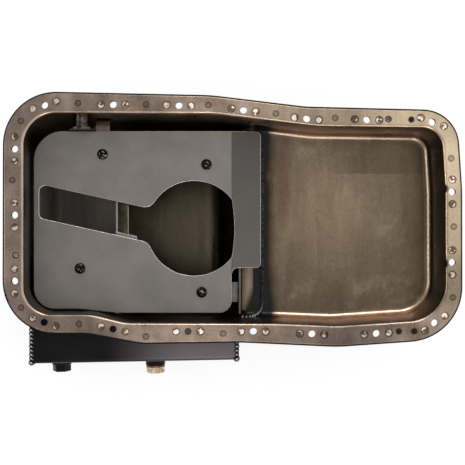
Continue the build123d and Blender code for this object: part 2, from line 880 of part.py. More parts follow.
def trap_door(x, door_side, door_y, pin_z, door_height):
    """Leaf that hangs from a rolled knuckle and covers its window."""
    face_x = x + baffle_sheet if door_side > 0 else x
    pin_x = face_x + door_side * hinge_reach
    shoulder_z = pin_z - hinge_pin_d / 2 - hinge_side_gap
    foot_z = pin_z - door_height - door_overlap
    with BuildPart() as door:
        with BuildSketch(Plane.YZ.offset(pin_x)):
            with Locations((door_y, shoulder_z)):
                Rectangle(leaf_width, shoulder_z - foot_z, align=(Align.CENTER, Align.MAX))
            with Locations((door_y, pin_z)):
                Rectangle(knuckle_length, door_height, align=(Align.CENTER, Align.MAX))
        extrude(amount=door_sheet / 2, both=True)
        foot = door.edges().filter_by(Axis.X).group_by(Axis.Z)[0]
        fillet(foot, door_foot_round)
        with BuildSketch(Plane.XZ.offset(-door_y)):
            with Locations((pin_x, pin_z)):
                Circle(hinge_knuckle_d / 2)
        extrude(amount=knuckle_length / 2, both=True)
        with BuildSketch(Plane.XZ.offset(-door_y)):
            with Locations((pin_x, pin_z)):
                Circle(hinge_pin_d / 2 + hinge_running_fit)
        extrude(amount=leaf_width, both=True, mode=Mode.SUBTRACT)
    return door.part


def hinge_pin(x, door_side, door_y, pin_z):
    """Headed pin through both ears, peened over at its far end."""
    face_x = x + baffle_sheet if door_side > 0 else x
    pin_x = face_x + door_side * hinge_reach
    half = ear_y + hinge_ear_sheet / 2 + screw_fit
    with BuildPart() as pin:
        with BuildSketch(Plane.XZ.offset(-door_y)):
            with Locations((pin_x, pin_z)):
                Circle(hinge_pin_d / 2)
        extrude(amount=half, both=True)
        for y, grow in ((door_y - half, 1), (door_y + half, -1)):
            with BuildSketch(Plane.XZ.offset(-y)):
                with Locations((pin_x, pin_z)):
                    Circle(pin_head_d / 2)
            extrude(amount=grow * pin_head_h)
    return pin.part


baffle_rear_y = rear_baffle_y + baffle_sheet
left_pin_z = -left_door_top_depth
right_pin_z = -right_door_top_depth
with BuildPart() as left_baffle:
    add(
        baffle_plate(
            left_baffle_x,
            baffle_front_y,
            baffle_rear_y,
            1,
            left_door_y,
            left_pin_z,
            left_door_height,
        )
    )
left_baffle.part.label = "left_baffle"
export_step(left_baffle.part, "parts/left_baffle.step")

with BuildPart() as right_baffle:
    add(
        baffle_plate(
            right_baffle_x,
            baffle_front_y,
            baffle_rear_y,
            -1,
            right_door_y,
            right_pin_z,
            right_door_height,
        )
    )
right_baffle.part.label = "right_baffle"
export_step(right_baffle.part, "parts/right_baffle.step")

with BuildPart() as rear_baffle:
    with BuildSketch(Plane.XZ.offset(-baffle_rear_y)):
        with Locations((left_baffle_x + baffle_sheet, baffle_top_z)):
            Rectangle(
                right_baffle_x - left_baffle_x - baffle_sheet,
                sump_depth,
                align=(Align.MIN, Align.MAX),
            )
    extrude(amount=baffle_sheet)
    add(tub_inside, mode=Mode.INTERSECT)
rear_baffle.part.label = "rear_baffle"
export_step(rear_baffle.part, "parts/rear_baffle.step")

# ---------------------------------------------------------------- trap doors
with BuildPart() as left_trap_door:
    add(trap_door(left_baffle_x, 1, left_door_y, left_pin_z, left_door_height))
left_trap_door.part.label = "left_trap_door"
export_step(left_trap_door.part, "parts/left_trap_door.step")

with BuildPart() as left_hinge_pin:
    add(hinge_pin(left_baffle_x, 1, left_door_y, left_pin_z))
left_hinge_pin.part.label = "left_hinge_pin"
export_step(left_hinge_pin.part, "parts/left_hinge_pin.step")

with BuildPart() as right_trap_door:
    add(trap_door(right_baffle_x, -1, right_door_y, right_pin_z, right_door_height))
right_trap_door.part.label = "right_trap_door"
export_step(right_trap_door.part, "parts/right_trap_door.step")

with BuildPart() as right_hinge_pin:
    add(hinge_pin(right_baffle_x, -1, right_door_y, right_pin_z))
right_hinge_pin.part.label = "right_hinge_pin"
export_step(right_hinge_pin.part, "parts/right_hinge_pin.step")

# ---------------------------------------------------------------- drain and level fittings
drain_plane = kickout_plane(drain_x, fitting_depth)
level_plane = kickout_plane(level_x, fitting_depth)


def weld_bung(plane, stand):
    """Threaded boss welded over a hole in the kick-out's front."""
    with BuildPart() as bung:
        with BuildSketch(plane):
            Circle(bung_d / 2)
            Circle(bung_thread_d / 2, mode=Mode.SUBTRACT)
        extrude(amount=stand)
        mouth_edges = bung.faces().sort_by(Axis.Y)[0].edges()
        chamfer(mouth_edges.sort_by(SortBy.RADIUS)[-1], fitting_chamfer)
    return bung.part


def hex_plug(plane, seat, head_af, head_h):
    """Hexagon-headed plug, with its head seated at a height above the plane."""
    with BuildPart() as plug:
        with BuildSketch(plane.offset(seat)):
            RegularPolygon(head_af / 2, 6, major_radius=False)
        extrude(amount=head_h)
        chamfer(plug.faces().sort_by(Axis.Y)[0].edges(), fitting_chamfer)
        with BuildSketch(plane.offset(seat)):
            Circle(bung_thread_d / 2 - plug_thread_fit)
        extrude(amount=-plug_thread_length)
    return plug.part


with BuildPart() as drain_bung:
    add(weld_bung(drain_plane, drain_bung_stand))
drain_bung.part.label = "drain_bung"
export_step(drain_bung.part, "parts/drain_bung.step")

with BuildPart() as drain_washer:
    with BuildSketch(drain_plane.offset(drain_bung_stand)):
        Circle(washer_od / 2)
        Circle(bung_thread_d / 2 + plug_thread_fit, mode=Mode.SUBTRACT)
    extrude(amount=washer_h)
drain_washer.part.label = "drain_washer"
export_step(drain_washer.part, "parts/drain_washer.step")

with BuildPart() as drain_plug:
    add(hex_plug(drain_plane, drain_bung_stand + washer_h, plug_head_af, plug_head_h))
drain_plug.part.label = "drain_plug"
export_step(drain_plug.part, "parts/drain_plug.step")

with BuildPart() as level_bung:
    add(weld_bung(level_plane, level_bung_stand))
level_bung.part.label = "level_bung"
export_step(level_bung.part, "parts/level_bung.step")

with BuildPart() as level_plug:
    add(hex_plug(level_plane, level_bung_stand, plug_head_af, level_head_h))
level_plug.part.label = "level_plug"
export_step(level_plug.part, "parts/level_plug.step")

# ---------------------------------------------------------------- wall fitting
wall_fitting_length = wall_fitting_reach + deflector_h
fitting_head_z = tub_sheet + wall_fitting_head_gap
with BuildPart() as wall_fitting:
    with BuildSketch(fitting_axis.offset(-wall_fitting_length)):
        Circle(wall_fitting_d / 2)
    extrude(amount=wall_fitting_length + fitting_head_z)
    with BuildSketch(fitting_axis.offset(fitting_head_z)):
        RegularPolygon(wall_fitting_head_af / 2, 6, major_radius=False)
    extrude(amount=wall_fitting_head_h)
wall_fitting.part.label = "wall_fitting"
export_step(wall_fitting.part, "parts/wall_fitting.step")

with BuildPart() as fitting_disc:
    with BuildSketch(fitting_axis.offset(-wall_fitting_length)):
        Circle(deflector_d / 2)
        Circle(wall_fitting_d / 2 + screw_fit, mode=Mode.SUBTRACT)
    extrude(amount=deflector_h)
fitting_disc.part.label = "fitting_disc"
export_step(fitting_disc.part, "parts/fitting_disc.step")
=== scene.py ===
# %% [markdown]
# An engine oil pan is a shallow steel tub that bolts under an engine and holds its oil. Its solid
# pieces are already made, so this script loads them as a fixed frame. It then adds the finishes,
# the details that need a softer hand, the light and the camera.

# %% Load the frame
import math
import random

import bmesh
import bpy
from mathutils import Matrix, Vector


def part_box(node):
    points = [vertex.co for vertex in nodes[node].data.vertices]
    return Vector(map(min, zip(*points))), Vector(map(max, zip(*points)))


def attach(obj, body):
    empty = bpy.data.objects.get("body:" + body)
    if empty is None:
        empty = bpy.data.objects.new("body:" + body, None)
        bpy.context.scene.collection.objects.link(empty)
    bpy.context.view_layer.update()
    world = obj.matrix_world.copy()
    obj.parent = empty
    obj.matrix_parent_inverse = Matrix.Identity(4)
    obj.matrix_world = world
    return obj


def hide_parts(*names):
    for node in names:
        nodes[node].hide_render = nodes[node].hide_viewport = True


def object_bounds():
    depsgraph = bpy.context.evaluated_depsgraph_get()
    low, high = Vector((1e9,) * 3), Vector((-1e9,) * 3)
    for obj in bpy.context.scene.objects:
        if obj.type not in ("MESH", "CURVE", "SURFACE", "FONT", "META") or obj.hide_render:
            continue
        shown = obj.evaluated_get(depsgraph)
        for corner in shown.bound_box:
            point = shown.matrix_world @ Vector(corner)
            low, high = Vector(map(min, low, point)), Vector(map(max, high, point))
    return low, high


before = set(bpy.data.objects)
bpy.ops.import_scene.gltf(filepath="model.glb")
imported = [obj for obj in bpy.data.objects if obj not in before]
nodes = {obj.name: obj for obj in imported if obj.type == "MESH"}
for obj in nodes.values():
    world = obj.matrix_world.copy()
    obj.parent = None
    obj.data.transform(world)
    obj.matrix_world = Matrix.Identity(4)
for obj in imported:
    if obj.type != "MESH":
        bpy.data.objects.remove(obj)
box_at_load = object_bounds()
mm = 0.001
bpy.ops.object.select_all(action="DESELECT")
print("nodes loaded:", len(nodes))

# %% [markdown]
# The pan is seen from straight above, from about nine hundred millimetres, a little in front of
# its middle. A longer lens keeps the walls from leaning. A camera with no rotation looks down its
# own minus Z, so it needs only a place.

# %% Set the camera
camera_data = bpy.data.cameras.new("overhead_camera")
camera_data.sensor_width = 36.0
camera_data.lens = 72.5
camera_data.clip_end = 10.0
camera = bpy.data.objects.new("overhead_camera", camera_data)
camera.location = (0.0, -12.5 * mm, 900.0 * mm)
bpy.context.scene.collection.objects.link(camera)
bpy.context.scene.camera = camera
bpy.context.scene.view_settings.view_transform = "Standard"
print("camera stands at", tuple(round(c, 4) for c in camera.location))

# %% [markdown]
# Every finish below is a small graph of nodes. One helper adds a node, sets its sockets and
# properties and joins it to others, and another turns a colour picked on a screen into the linear
# light that the renderer counts in. Object coordinates are in metres, so a last helper gives the
# scale of a pattern from its real size in millimetres.


# %% Helpers for the finishes
def linear(hex_colour):
    """Linear RGBA from an sRGB hex colour."""
    channels = []
    for start in (1, 3, 5):
        value = int(hex_colour[start : start + 2], 16) / 255
        channels.append(value / 12.92 if value <= 0.04045 else ((value + 0.055) / 1.055) ** 2.4)
    return (*channels, 1.0)


def join(tree, node, links):
    """Joins other nodes to this one: their first output, or the output named with them."""
    for name, link in dict(links).items():
        source, output = link if isinstance(link, tuple) else (link, 0)
        tree.links.new(source.outputs[output], node.inputs[name])


def add_node(tree, kind, settings=(), links=(), stops=()):
    """Adds one node. Settings name its sockets or properties, or are just its operation.

    Stops are the places and the hex colours of a colour ramp.
    """
    node = tree.nodes.new("ShaderNode" + kind)
    if isinstance(settings, str):
        settings = {"operation": settings}
    for name, value in dict(settings).items():
        if isinstance(name, str) and hasattr(node, name):
            setattr(node, name, value)
        else:
            node.inputs[name].default_value = value
    for index, (position, hex_colour) in enumerate(stops):
        node.color_ramp.elements[index].position = position
        node.color_ramp.elements[index].color = linear(hex_colour)
    join(tree, node, links)
    return node


def start_finish(name):
    """A new material with its shader and its object coordinates."""
    finish = bpy.data.materials.new(name)
    finish.use_nodes = True
    tree = finish.node_tree
    where = add_node(tree, "TexCoord")
    return finish, tree, tree.nodes["Principled BSDF"], where


def per_mm(size):
    """Scale of a pattern whose grains are this many millimetres wide."""
    return 1000.0 / size


# A setting that makes a Map Range node fade softly at both ends.
soft = {"interpolation_type": "SMOOTHSTEP"}
print("mid grey is", round(linear("#808080")[0], 3), "in linear light")

# %% [markdown]
# The shell is pressed from mild steel sheet and was run in hot oil. On its rail the bare steel
# has a thin brown varnish that grows golden to the right, where a painted sheen brightens it.
# The two end walls are dark, and the floors olive, where the oil stands. The outside and the band
# along the welded seam are sprayed black. Some bends, walls and hollows also get painted light
# or shade. Masks made from place and from the way a face looks can tell all of these apart, so
# one material covers the whole pressing.

# %% Masks of the shell
varnished_steel, tree, shader, where = start_finish("varnished_pressed_steel")
place = add_node(tree, "SeparateXYZ", links={0: (where, "Object")})
facing = add_node(tree, "SeparateXYZ", links={0: (where, "Normal")})
# Where a point lies along each axis, and which way its face looks.
at_x, at_y, at_z = ((place, axis) for axis in "XYZ")
looks_x, looks_y, looks_z = ((facing, axis) for axis in "XYZ")
blotch = add_node(
    tree, "TexNoise", {"Scale": per_mm(38), "Detail": 5.0, "Roughness": 0.62},
    {"Vector": (where, "Object")},
)
ragged = add_node(
    tree, "MapRange", {"From Min": 0.3, "From Max": 0.7, "To Min": -5 * mm, "To Max": 5 * mm},
    {"Value": (blotch, "Fac")},
)
# Places with a ragged edge, for stains that creep.
creep_x = add_node(tree, "Math", "ADD", {0: at_x, 1: ragged})
creep_z = add_node(tree, "Math", "ADD", {0: at_z, 1: ragged})
on_floor = add_node(
    tree, "MapRange", {"From Min": -44 * mm, "From Max": -58 * mm, **soft}, {"Value": creep_z}
)
print("masks: place, facing and floors")

# %% The walls at the ends and the sides
leans_along = add_node(tree, "Math", "ABSOLUTE", {0: looks_x})
leans_across = add_node(tree, "Math", "ABSOLUTE", {0: looks_y})
far_out = add_node(tree, "Math", "ABSOLUTE", {0: at_x})
at_an_end = add_node(tree, "Math", {"operation": "GREATER_THAN", 1: 150 * mm}, {0: far_out})
end_facing = add_node(tree, "MapRange", {"From Min": 0.72, "From Max": 0.96}, {"Value": leans_along})
end_wall = add_node(tree, "Math", "MULTIPLY", {0: at_an_end, 1: end_facing})
# The front and rear walls get a painted reflection of the lit floor, lighter than the sheet.
side_wall_reflection = add_node(tree, "MapRange", {"From Min": 0.7, "From Max": 1.0}, {"Value": leans_across})
# The chamber left of the pickup is seen through the slot.
left_part = add_node(tree, "MapRange", {"From Min": -114 * mm, "From Max": -158 * mm}, {"Value": at_x})
below_tray = add_node(tree, "Math", {"operation": "LESS_THAN", 1: -45 * mm}, {0: at_z})
from_slot = add_node(tree, "Math", {"operation": "SUBTRACT", 1: 10 * mm}, {0: at_y})
beside_slot = add_node(tree, "Math", "ABSOLUTE", {0: from_slot})
under_slot = add_node(
    tree, "MapRange", {"From Min": 62 * mm, "From Max": 42 * mm, **soft}, {"Value": beside_slot}
)
left_floor = add_node(tree, "Math", "MULTIPLY", {0: left_part, 1: below_tray})
chamber = add_node(tree, "Math", "MULTIPLY", {0: left_floor, 1: under_slot})
print("masks: end walls, side walls, left chamber")

# %% [markdown]
# All the bends get a painted highlight, so they are a little brighter. The walls of the deep sump
# get painted shade, and its floor is darker than the bay's. The bay's walls get painted shade under
# the rim, and the front wall a painted highlight low down. The oil left a tide line on its floor,
# and the press drew faint streaks across.

# %% Bends and sump walls
not_flat = add_node(tree, "MapRange", {"From Min": 0.97, "From Max": 0.88}, {"Value": looks_z})
not_steep = add_node(tree, "MapRange", {"From Min": 0.45, "From Max": 0.7}, {"Value": looks_z})
# Painted highlight on the bends.
all_bends = add_node(tree, "Math", "MULTIPLY", {0: not_flat, 1: not_steep})
above_sump = add_node(tree, "Math", {"operation": "COMPARE", 1: -37.6 * mm, 2: 37.4 * mm}, {0: at_z})
bend_highlights = add_node(tree, "Math", "MULTIPLY", {0: all_bends, 1: above_sump})
# Painted shade on the steep walls of the deep sump.
steep = add_node(tree, "MapRange", {"From Min": 0.55, "From Max": 0.3}, {"Value": looks_z})
at_sump = add_node(
    tree, "MapRange", {"From Min": 52 * mm, "From Max": 34 * mm, **soft}, {"Value": creep_x}
)
sump_wall_shade = add_node(tree, "Math", "MULTIPLY", {0: steep, 1: at_sump})
# The top of the rear wall gets painted light, and shows as a brown band under the rim.
faces_front = add_node(tree, "MapRange", {"From Min": -0.35, "From Max": -0.9}, {"Value": looks_y})
wall_top = add_node(tree, "MapRange", {"From Min": -64 * mm, "From Max": -44 * mm}, {"Value": creep_z})
wall_side = add_node(
    tree, "MapRange", {"From Min": -150 * mm, "From Max": -50 * mm, "To Min": 0.25}, {"Value": at_x}
)
lit_rear_top = add_node(tree, "Math", "MULTIPLY", {0: faces_front, 1: wall_top})
lit_band_area = add_node(tree, "Math", "MULTIPLY", {0: lit_rear_top, 1: wall_side})
lit_rear_band = add_node(tree, "Math", "MULTIPLY", {0: lit_band_area, 1: sump_wall_shade})
sump_floor = add_node(tree, "MapRange", {"From Min": -85 * mm, "From Max": -110 * mm}, {"Value": at_z})
# The bend at the ramp's foot gets painted light, as pale as the lit floor beside it.
at_foot_x = add_node(
    tree, "MapRange", {"From Min": -34 * mm, "From Max": -17 * mm, **soft}, {"Value": at_x}
)
at_foot_z = add_node(tree, "MapRange", {"From Min": -122 * mm, "From Max": -134 * mm}, {"Value": at_z})
at_foot = add_node(tree, "Math", "MULTIPLY", {0: at_foot_x, 1: at_foot_z})
lit_foot_bend = add_node(tree, "Math", "MULTIPLY", {0: at_foot, 1: not_steep})
print("masks: bends, sump walls and floor")

# %% Tide line, bay walls and streaks
behind_tide = add_node(
    tree, "MapRange", {"From Min": 47.2 * mm, "From Max": 48.0 * mm}, {"Value": at_y}
)
tide_start = add_node(tree, "MapRange", {"From Min": 92 * mm, "From Max": 125 * mm}, {"Value": creep_x})
tide_area = add_node(tree, "Math", "MULTIPLY", {0: behind_tide, 1: tide_start})
tide = add_node(tree, "Math", "MULTIPLY", {0: tide_area, 1: on_floor})
# Painted shade darkens the walls high up under the rim.
high_up = add_node(tree, "MapRange", {"From Min": -26 * mm, "From Max": -6 * mm}, {"Value": creep_z})
shade_under_rim = add_node(tree, "Math", "MULTIPLY", {0: steep, 1: high_up})
# A painted highlight brightens the front wall low down, where it faces the rear.
low_down = add_node(tree, "MapRange", {"From Min": -34 * mm, "From Max": -50 * mm}, {"Value": at_z})
looks_back = add_node(tree, "MapRange", {"From Min": 0.35, "From Max": 0.6}, {"Value": looks_y})
front_wall_highlight = add_node(tree, "Math", "MULTIPLY", {0: low_down, 1: looks_back})
drawn = add_node(tree, "Mapping", {"Scale": (1.0, 0.22, 1.0)}, {"Vector": (where, "Object")})
streaks = add_node(
    tree, "TexNoise", {"Scale": per_mm(16), "Detail": 5.0, "Roughness": 0.6, "Distortion": 0.6},
    {"Vector": drawn},
)
print("masks: tide line, bay walls, streaks")

# %% [markdown]
# Each bolt hole has a pressed dimple on either side that grips the gasket. The dimples' flat
# floors get painted glints in patches, and their sloping rims get painted shade. A rim is steeper
# than the rounded bend of the tub is at the same height, so height and normal together find the
# rims and the edges of the holes without a list of places.

# %% Dimples on the rail
bend_radius = 3 * mm
steeper_than_bend = add_node(
    tree, "Math", {"operation": "MULTIPLY_ADD", 1: -1 / bend_radius}, {0: at_z, 2: looks_z}
)
# Painted shade on the dimples' sloping rims and on the edges of the holes.
rims = add_node(tree, "MapRange", {"From Min": 0.87, "From Max": 0.8}, {"Value": steeper_than_bend})
at_dimple_floor = add_node(
    tree, "Math", {"operation": "COMPARE", 1: -1.3 * mm, 2: 0.12 * mm}, {0: at_z}
)
looks_up = add_node(tree, "Math", {"operation": "GREATER_THAN", 1: 0.97}, {0: looks_z})
dimple = add_node(tree, "Math", "MULTIPLY", {0: at_dimple_floor, 1: looks_up})
glints = add_node(tree, "TexNoise", {"Scale": per_mm(4.5), "Detail": 2.0}, {"Vector": (where, "Object")})
glint_patches = add_node(tree, "MapRange", {"From Min": 0.45, "From Max": 0.52}, {"Value": (glints, "Fac")})
dimple_glints = add_node(tree, "Math", "MULTIPLY", {0: dimple, 1: glint_patches})
print("masks: dimple floors, rims and wear")

# %% [markdown]
# Paint is sprayed on the outside. A face looks outwards when it looks away from a point inside
# the tub. The deep sump needs a point of its own, because its inner end wall would look outwards
# from the middle of the whole tub. The sheet of the rail is left out by its height.

# %% Where the outside is painted
inside_x = add_node(
    tree, "MapRange",
    {"From Min": -58.5 * mm, "From Max": -60.5 * mm, "To Min": 20 * mm, "To Max": -105 * mm},
    {"Value": at_z},
)
inside_point = add_node(tree, "CombineXYZ", {"Y": 0.0, "Z": -30 * mm}, {"X": inside_x})
from_middle = add_node(tree, "VectorMath", "SUBTRACT", {0: (where, "Object"), 1: inside_point})
outward = add_node(
    tree, "VectorMath", "DOT_PRODUCT", {0: (from_middle, "Vector"), 1: (where, "Normal")}
)
is_outside = add_node(tree, "Math", {"operation": "GREATER_THAN", 1: 0.0}, {0: (outward, "Value")})
below_rail = add_node(tree, "Math", {"operation": "LESS_THAN", 1: -1.65 * mm}, {0: at_z})
outside_paint = add_node(tree, "Math", "MULTIPLY", {0: is_outside, 1: below_rail})
print("mask: paint outside")

# %% [markdown]
# Inside, the welder painted over the bare seam: a strip along the weld on the floor, and a patch
# on the front wall where the weld turns the corner. A dark band fades out beside it.

# %% The painted strip along the seam
# The left edge of the paint slants left as it nears the front wall.
paint_left = add_node(
    tree, "MapRange",
    {"From Min": -68 * mm, "From Max": -99 * mm, "To Min": 22 * mm, "To Max": 10 * mm}, {"Value": at_y},
)
into_paint = add_node(tree, "Math", "SUBTRACT", {0: at_x, 1: paint_left})
right_of_edge = add_node(
    tree, "MapRange", {"From Min": -6 * mm, "From Max": 3 * mm, **soft}, {"Value": into_paint}
)
wander = add_node(tree, "Math", {"operation": "MULTIPLY_ADD", 1: 0.35}, {0: ragged, 2: at_x})
# The right edge bulges to the right near the front wall.
paint_right = add_node(
    tree, "MapRange",
    {"From Min": -50 * mm, "From Max": -88 * mm, "To Min": 35.5 * mm, "To Max": 40 * mm},
    {"Value": at_y},
)
past_paint = add_node(tree, "Math", "SUBTRACT", {0: wander, 1: paint_right})
left_of_edge = add_node(
    tree, "MapRange", {"From Min": 2.5 * mm, "From Max": -1.5 * mm, **soft}, {"Value": past_paint}
)
strip = add_node(tree, "Math", "MULTIPLY", {0: right_of_edge, 1: left_of_edge})
# A dark band fades out past the paint's right edge.
fringe_fades = add_node(
    tree, "MapRange", {"From Min": 12 * mm, "From Max": -1 * mm, **soft}, {"Value": past_paint}
)
fringe_area = add_node(tree, "Math", "MULTIPLY", {0: right_of_edge, 1: fringe_fades})
deep = add_node(tree, "MapRange", {"From Min": -26 * mm, "From Max": -40 * mm}, {"Value": creep_z})
strip_paint = add_node(tree, "Math", "MULTIPLY", {0: strip, 1: deep})
halo = add_node(tree, "Math", "MULTIPLY", {0: fringe_area, 1: deep})
print("masks: painted strip and soot")

# %% The bare ledge and the painted patch
# A narrow ledge is left bare between the baffle and the paint, and gets painted light.
on_ledge = add_node(tree, "Math", {"operation": "COMPARE", 1: 13 * mm, 2: 8 * mm}, {0: at_x})
ledge_height = add_node(tree, "Math", {"operation": "COMPARE", 1: -58 * mm, 2: 8 * mm}, {0: at_z})
flat_ledge = add_node(tree, "Math", "MULTIPLY", {0: on_ledge, 1: ledge_height})
front_half = add_node(tree, "Math", {"operation": "LESS_THAN", 1: -30 * mm}, {0: at_y})
lit_ledge = add_node(tree, "Math", "MULTIPLY", {0: flat_ledge, 1: front_half})
at_front = add_node(tree, "MapRange", {"From Min": -88 * mm, "From Max": -93 * mm}, {"Value": at_y})
along_front = add_node(tree, "Math", {"operation": "COMPARE", 1: 14 * mm, 2: 23 * mm}, {0: creep_x})
below_bend = add_node(tree, "MapRange", {"From Min": -9 * mm, "From Max": -16 * mm}, {"Value": creep_z})
front_patch = add_node(tree, "Math", "MULTIPLY", {0: at_front, 1: along_front})
front_paint = add_node(tree, "Math", "MULTIPLY", {0: front_patch, 1: below_bend})
inside_paint = add_node(tree, "Math", "MAXIMUM", {0: strip_paint, 1: front_paint})
paint = add_node(
    tree, "Math", {"operation": "MAXIMUM", "use_clamp": True}, {0: inside_paint, 1: outside_paint}
)
print("masks: ledge, patch and all the paint")

# %% [markdown]
# The rail sheet is spot-welded to the bar below it between the bolts. Each weld leaves a soft
# brown spot with a darker ring. Three round recesses of the press are painted black, as the shade
# in their hollows, and two notches in the bend are painted dark. The distance from a point to
# each mark gives the mark: a band of distances for a ring, and all of the small distances for a
# filled spot.

# %% Marks on the rail
spot_welds = [
    (-148.5, 111.9), (-83.3, 110.7), (-23.3, 110.0), (41.6, 101.8), (98.6, 97.6),
    (-203.5, 94.8), (210.1, 58.7), (212.7, -6.9), (211.9, -75.0), (-147.7, -100.4),
    (-83.3, -112.4), (-9.1, -109.6), (-203.2, -84.7), (-211.8, 37.9),
]
recesses = [(171.9, 96.0), (159.9, -107.6), (174.6, -107.4)]
notches = [(202.4, 29.7), (202.6, -42.3)]
pins = [(149.9, 96.5), (-208.8, -34.4)]
marks = None
# Each row has the places, the ring's radius and half width in mm, the share of that width that
# is as dark as the middle, and how dark that is.
for centres, middle, width, soft_edge, strength in (
    (spot_welds, 2.5, 1.1, 0.5, 0.65),
    (spot_welds, 0.0, 3.4, 0.5, 0.35),
    (recesses, 0.0, 3.8, 0.6, 1.0),
    (notches, 0.0, 5.4, 0.8, 1.0),
    (pins, 2.6, 0.8, 0.5, 0.9),
):
    for x, y in centres:
        away = add_node(
            tree, "VectorMath", {"operation": "DISTANCE", 1: (x * mm, y * mm, 0.0)},
            {0: (where, "Object")},
        )
        from_ring = add_node(
            tree, "Math", {"operation": "SUBTRACT", 1: middle * mm}, {0: (away, "Value")}
        )
        off_ring = add_node(tree, "Math", "ABSOLUTE", {0: from_ring})
        mark = add_node(
            tree, "MapRange",
            {"From Min": width * mm, "From Max": soft_edge * width * mm, "To Max": strength},
            {"Value": off_ring},
        )
        if marks:
            mark = add_node(tree, "Math", "MAXIMUM", {0: marks, 1: mark})
        marks = mark
print("marks on the rail:", len(spot_welds + recesses + notches + pins))

# %% [markdown]
# The colours go on in the order that they got there: bare steel with its golden end, olive
# floors, paler in the middle, dark walls, a dark band, marks and black paint on top. Painted
# shade goes where surfaces meet, which an Ambient Occlusion node finds. Bare steel is metallic,
# and paint isn't.

# %% The ends of the rail and the pale pool
# The golden tone and its painted sheen lie towards the right and the rear together.
rear_right = add_node(tree, "Math", {"operation": "MULTIPLY_ADD", 1: 0.9}, {0: at_y, 2: creep_x})
golden_tone_and_sheen = add_node(
    tree, "MapRange", {"From Min": 85 * mm, "From Max": 195 * mm, **soft}, {"Value": rear_right}
)
purple_end = add_node(
    tree, "MapRange", {"From Min": -120 * mm, "From Max": -225 * mm, **soft}, {"Value": creep_x}
)
from_pool = add_node(
    tree, "VectorMath", {"operation": "DISTANCE", 1: (96 * mm, 6 * mm, -58 * mm)},
    {0: (where, "Object")},
)
pale_pool = add_node(
    tree, "MapRange", {"From Min": 88 * mm, "From Max": 10 * mm, **soft},
    {"Value": (from_pool, "Value")},
)
print("masks: golden and purple ends, clean pool")

# %% Painted shade in corners, the oil band and the floor's end
corners = add_node(tree, "AmbientOcclusion", {"samples": 8, "Distance": 2.2 * mm})
corner_shade = add_node(
    tree, "MapRange", {"From Min": 0.72, "From Max": 0.45, "To Max": 0.8}, {"Value": (corners, "AO")}
)
# A brown band of old oil lies across the bay's floor, as a long soft oval.
band_centre_x, band_centre_y, band_half_width, band_half_length = 52, 32, 11, 58
across_band = add_node(
    tree, "VectorMath",
    {
        "operation": "MULTIPLY_ADD",
        1: (1 / (band_half_width * mm), 1 / (band_half_length * mm), 0.0),
        2: (-band_centre_x / band_half_width, -band_centre_y / band_half_length, 0.0),
    },
    {0: (where, "Object")},
)
from_band = add_node(tree, "VectorMath", "LENGTH", {0: across_band})
oil_band = add_node(
    tree, "MapRange", {"From Min": 1.0, "From Max": 0.2, **soft}, {"Value": (from_band, "Value")}
)
brown_band = add_node(tree, "Math", "MULTIPLY", {0: oil_band, 1: on_floor})
near_end = add_node(
    tree, "MapRange", {"From Min": 158 * mm, "From Max": 186 * mm, **soft}, {"Value": at_x}
)
floor_end = add_node(tree, "Math", "MULTIPLY", {0: near_end, 1: on_floor})
print("masks: grime, oil band, floor's end")

# %% Colours of the shell
colour = add_node(
    tree, "ValToRGB", links={0: (blotch, "Fac")}, stops=((0.3, "#6E5E52"), (0.72, "#A39183"))
)
# From the bottom up: where a layer lies, its colour and how much it covers.
# Painted light among them: the golden end's sheen, side walls, bends, low front wall, rear band, foot
# bend, ledge and dimple glints. Painted shade: sump walls, walls under the rim, rims, corners.
layers = (
    (golden_tone_and_sheen, "#B5A288", 0.85),
    (purple_end, "#A39084", 0.6),
    (on_floor, "#5A4E40", 0.92),
    (pale_pool, "#80705C", 0.85),
    (brown_band, "#5A4239", 0.65),
    (floor_end, "#4E3D2B", 0.4),
    (tide, "#453D31", 0.5),
    (sump_floor, "#4C4538", 0.85),
    (side_wall_reflection, "#C4A088", 0.8),
    (front_wall_highlight, "#F0CBAE", 0.8),
    (shade_under_rim, "#241A14", 0.8),
    (bend_highlights, "#D8BCA4", 0.5),
    (sump_wall_shade, "#2B2119", 0.9),
    (lit_rear_band, "#D8C0AA", 0.9),
    (lit_foot_bend, "#6E6555", 0.8),
    (end_wall, "#211811", 0.95),
    (chamber, "#9A988C", 0.9),
    (halo, "#1C1712", 0.8),
    (lit_ledge, "#C0A88F", 0.85),
    (marks, "#2A221D", 1.0),
    (rims, "#33271F", 0.85),
    (dimple, "#6A5848", 1.0),
    (dimple_glints, "#E8DDD0", 1.0),
    (corner_shade, "#2A211B", 1.0),
    (paint, "#131414", 1.0),
)
for mask, hex_colour, amount in layers:
    share = add_node(tree, "Math", {"operation": "MULTIPLY", 1: amount}, {0: mask})
    layer = add_node(tree, "Mix", {"data_type": "RGBA", 7: linear(hex_colour)}, {0: share, 6: colour})
    colour = layer, 2
print("colour layers on the shell:", len(layers))

# %% [markdown]
# Wide soft areas of the rail are darker or lighter than the rest. Each is a soft round spot
# that darkens or lightens the steel by its share.

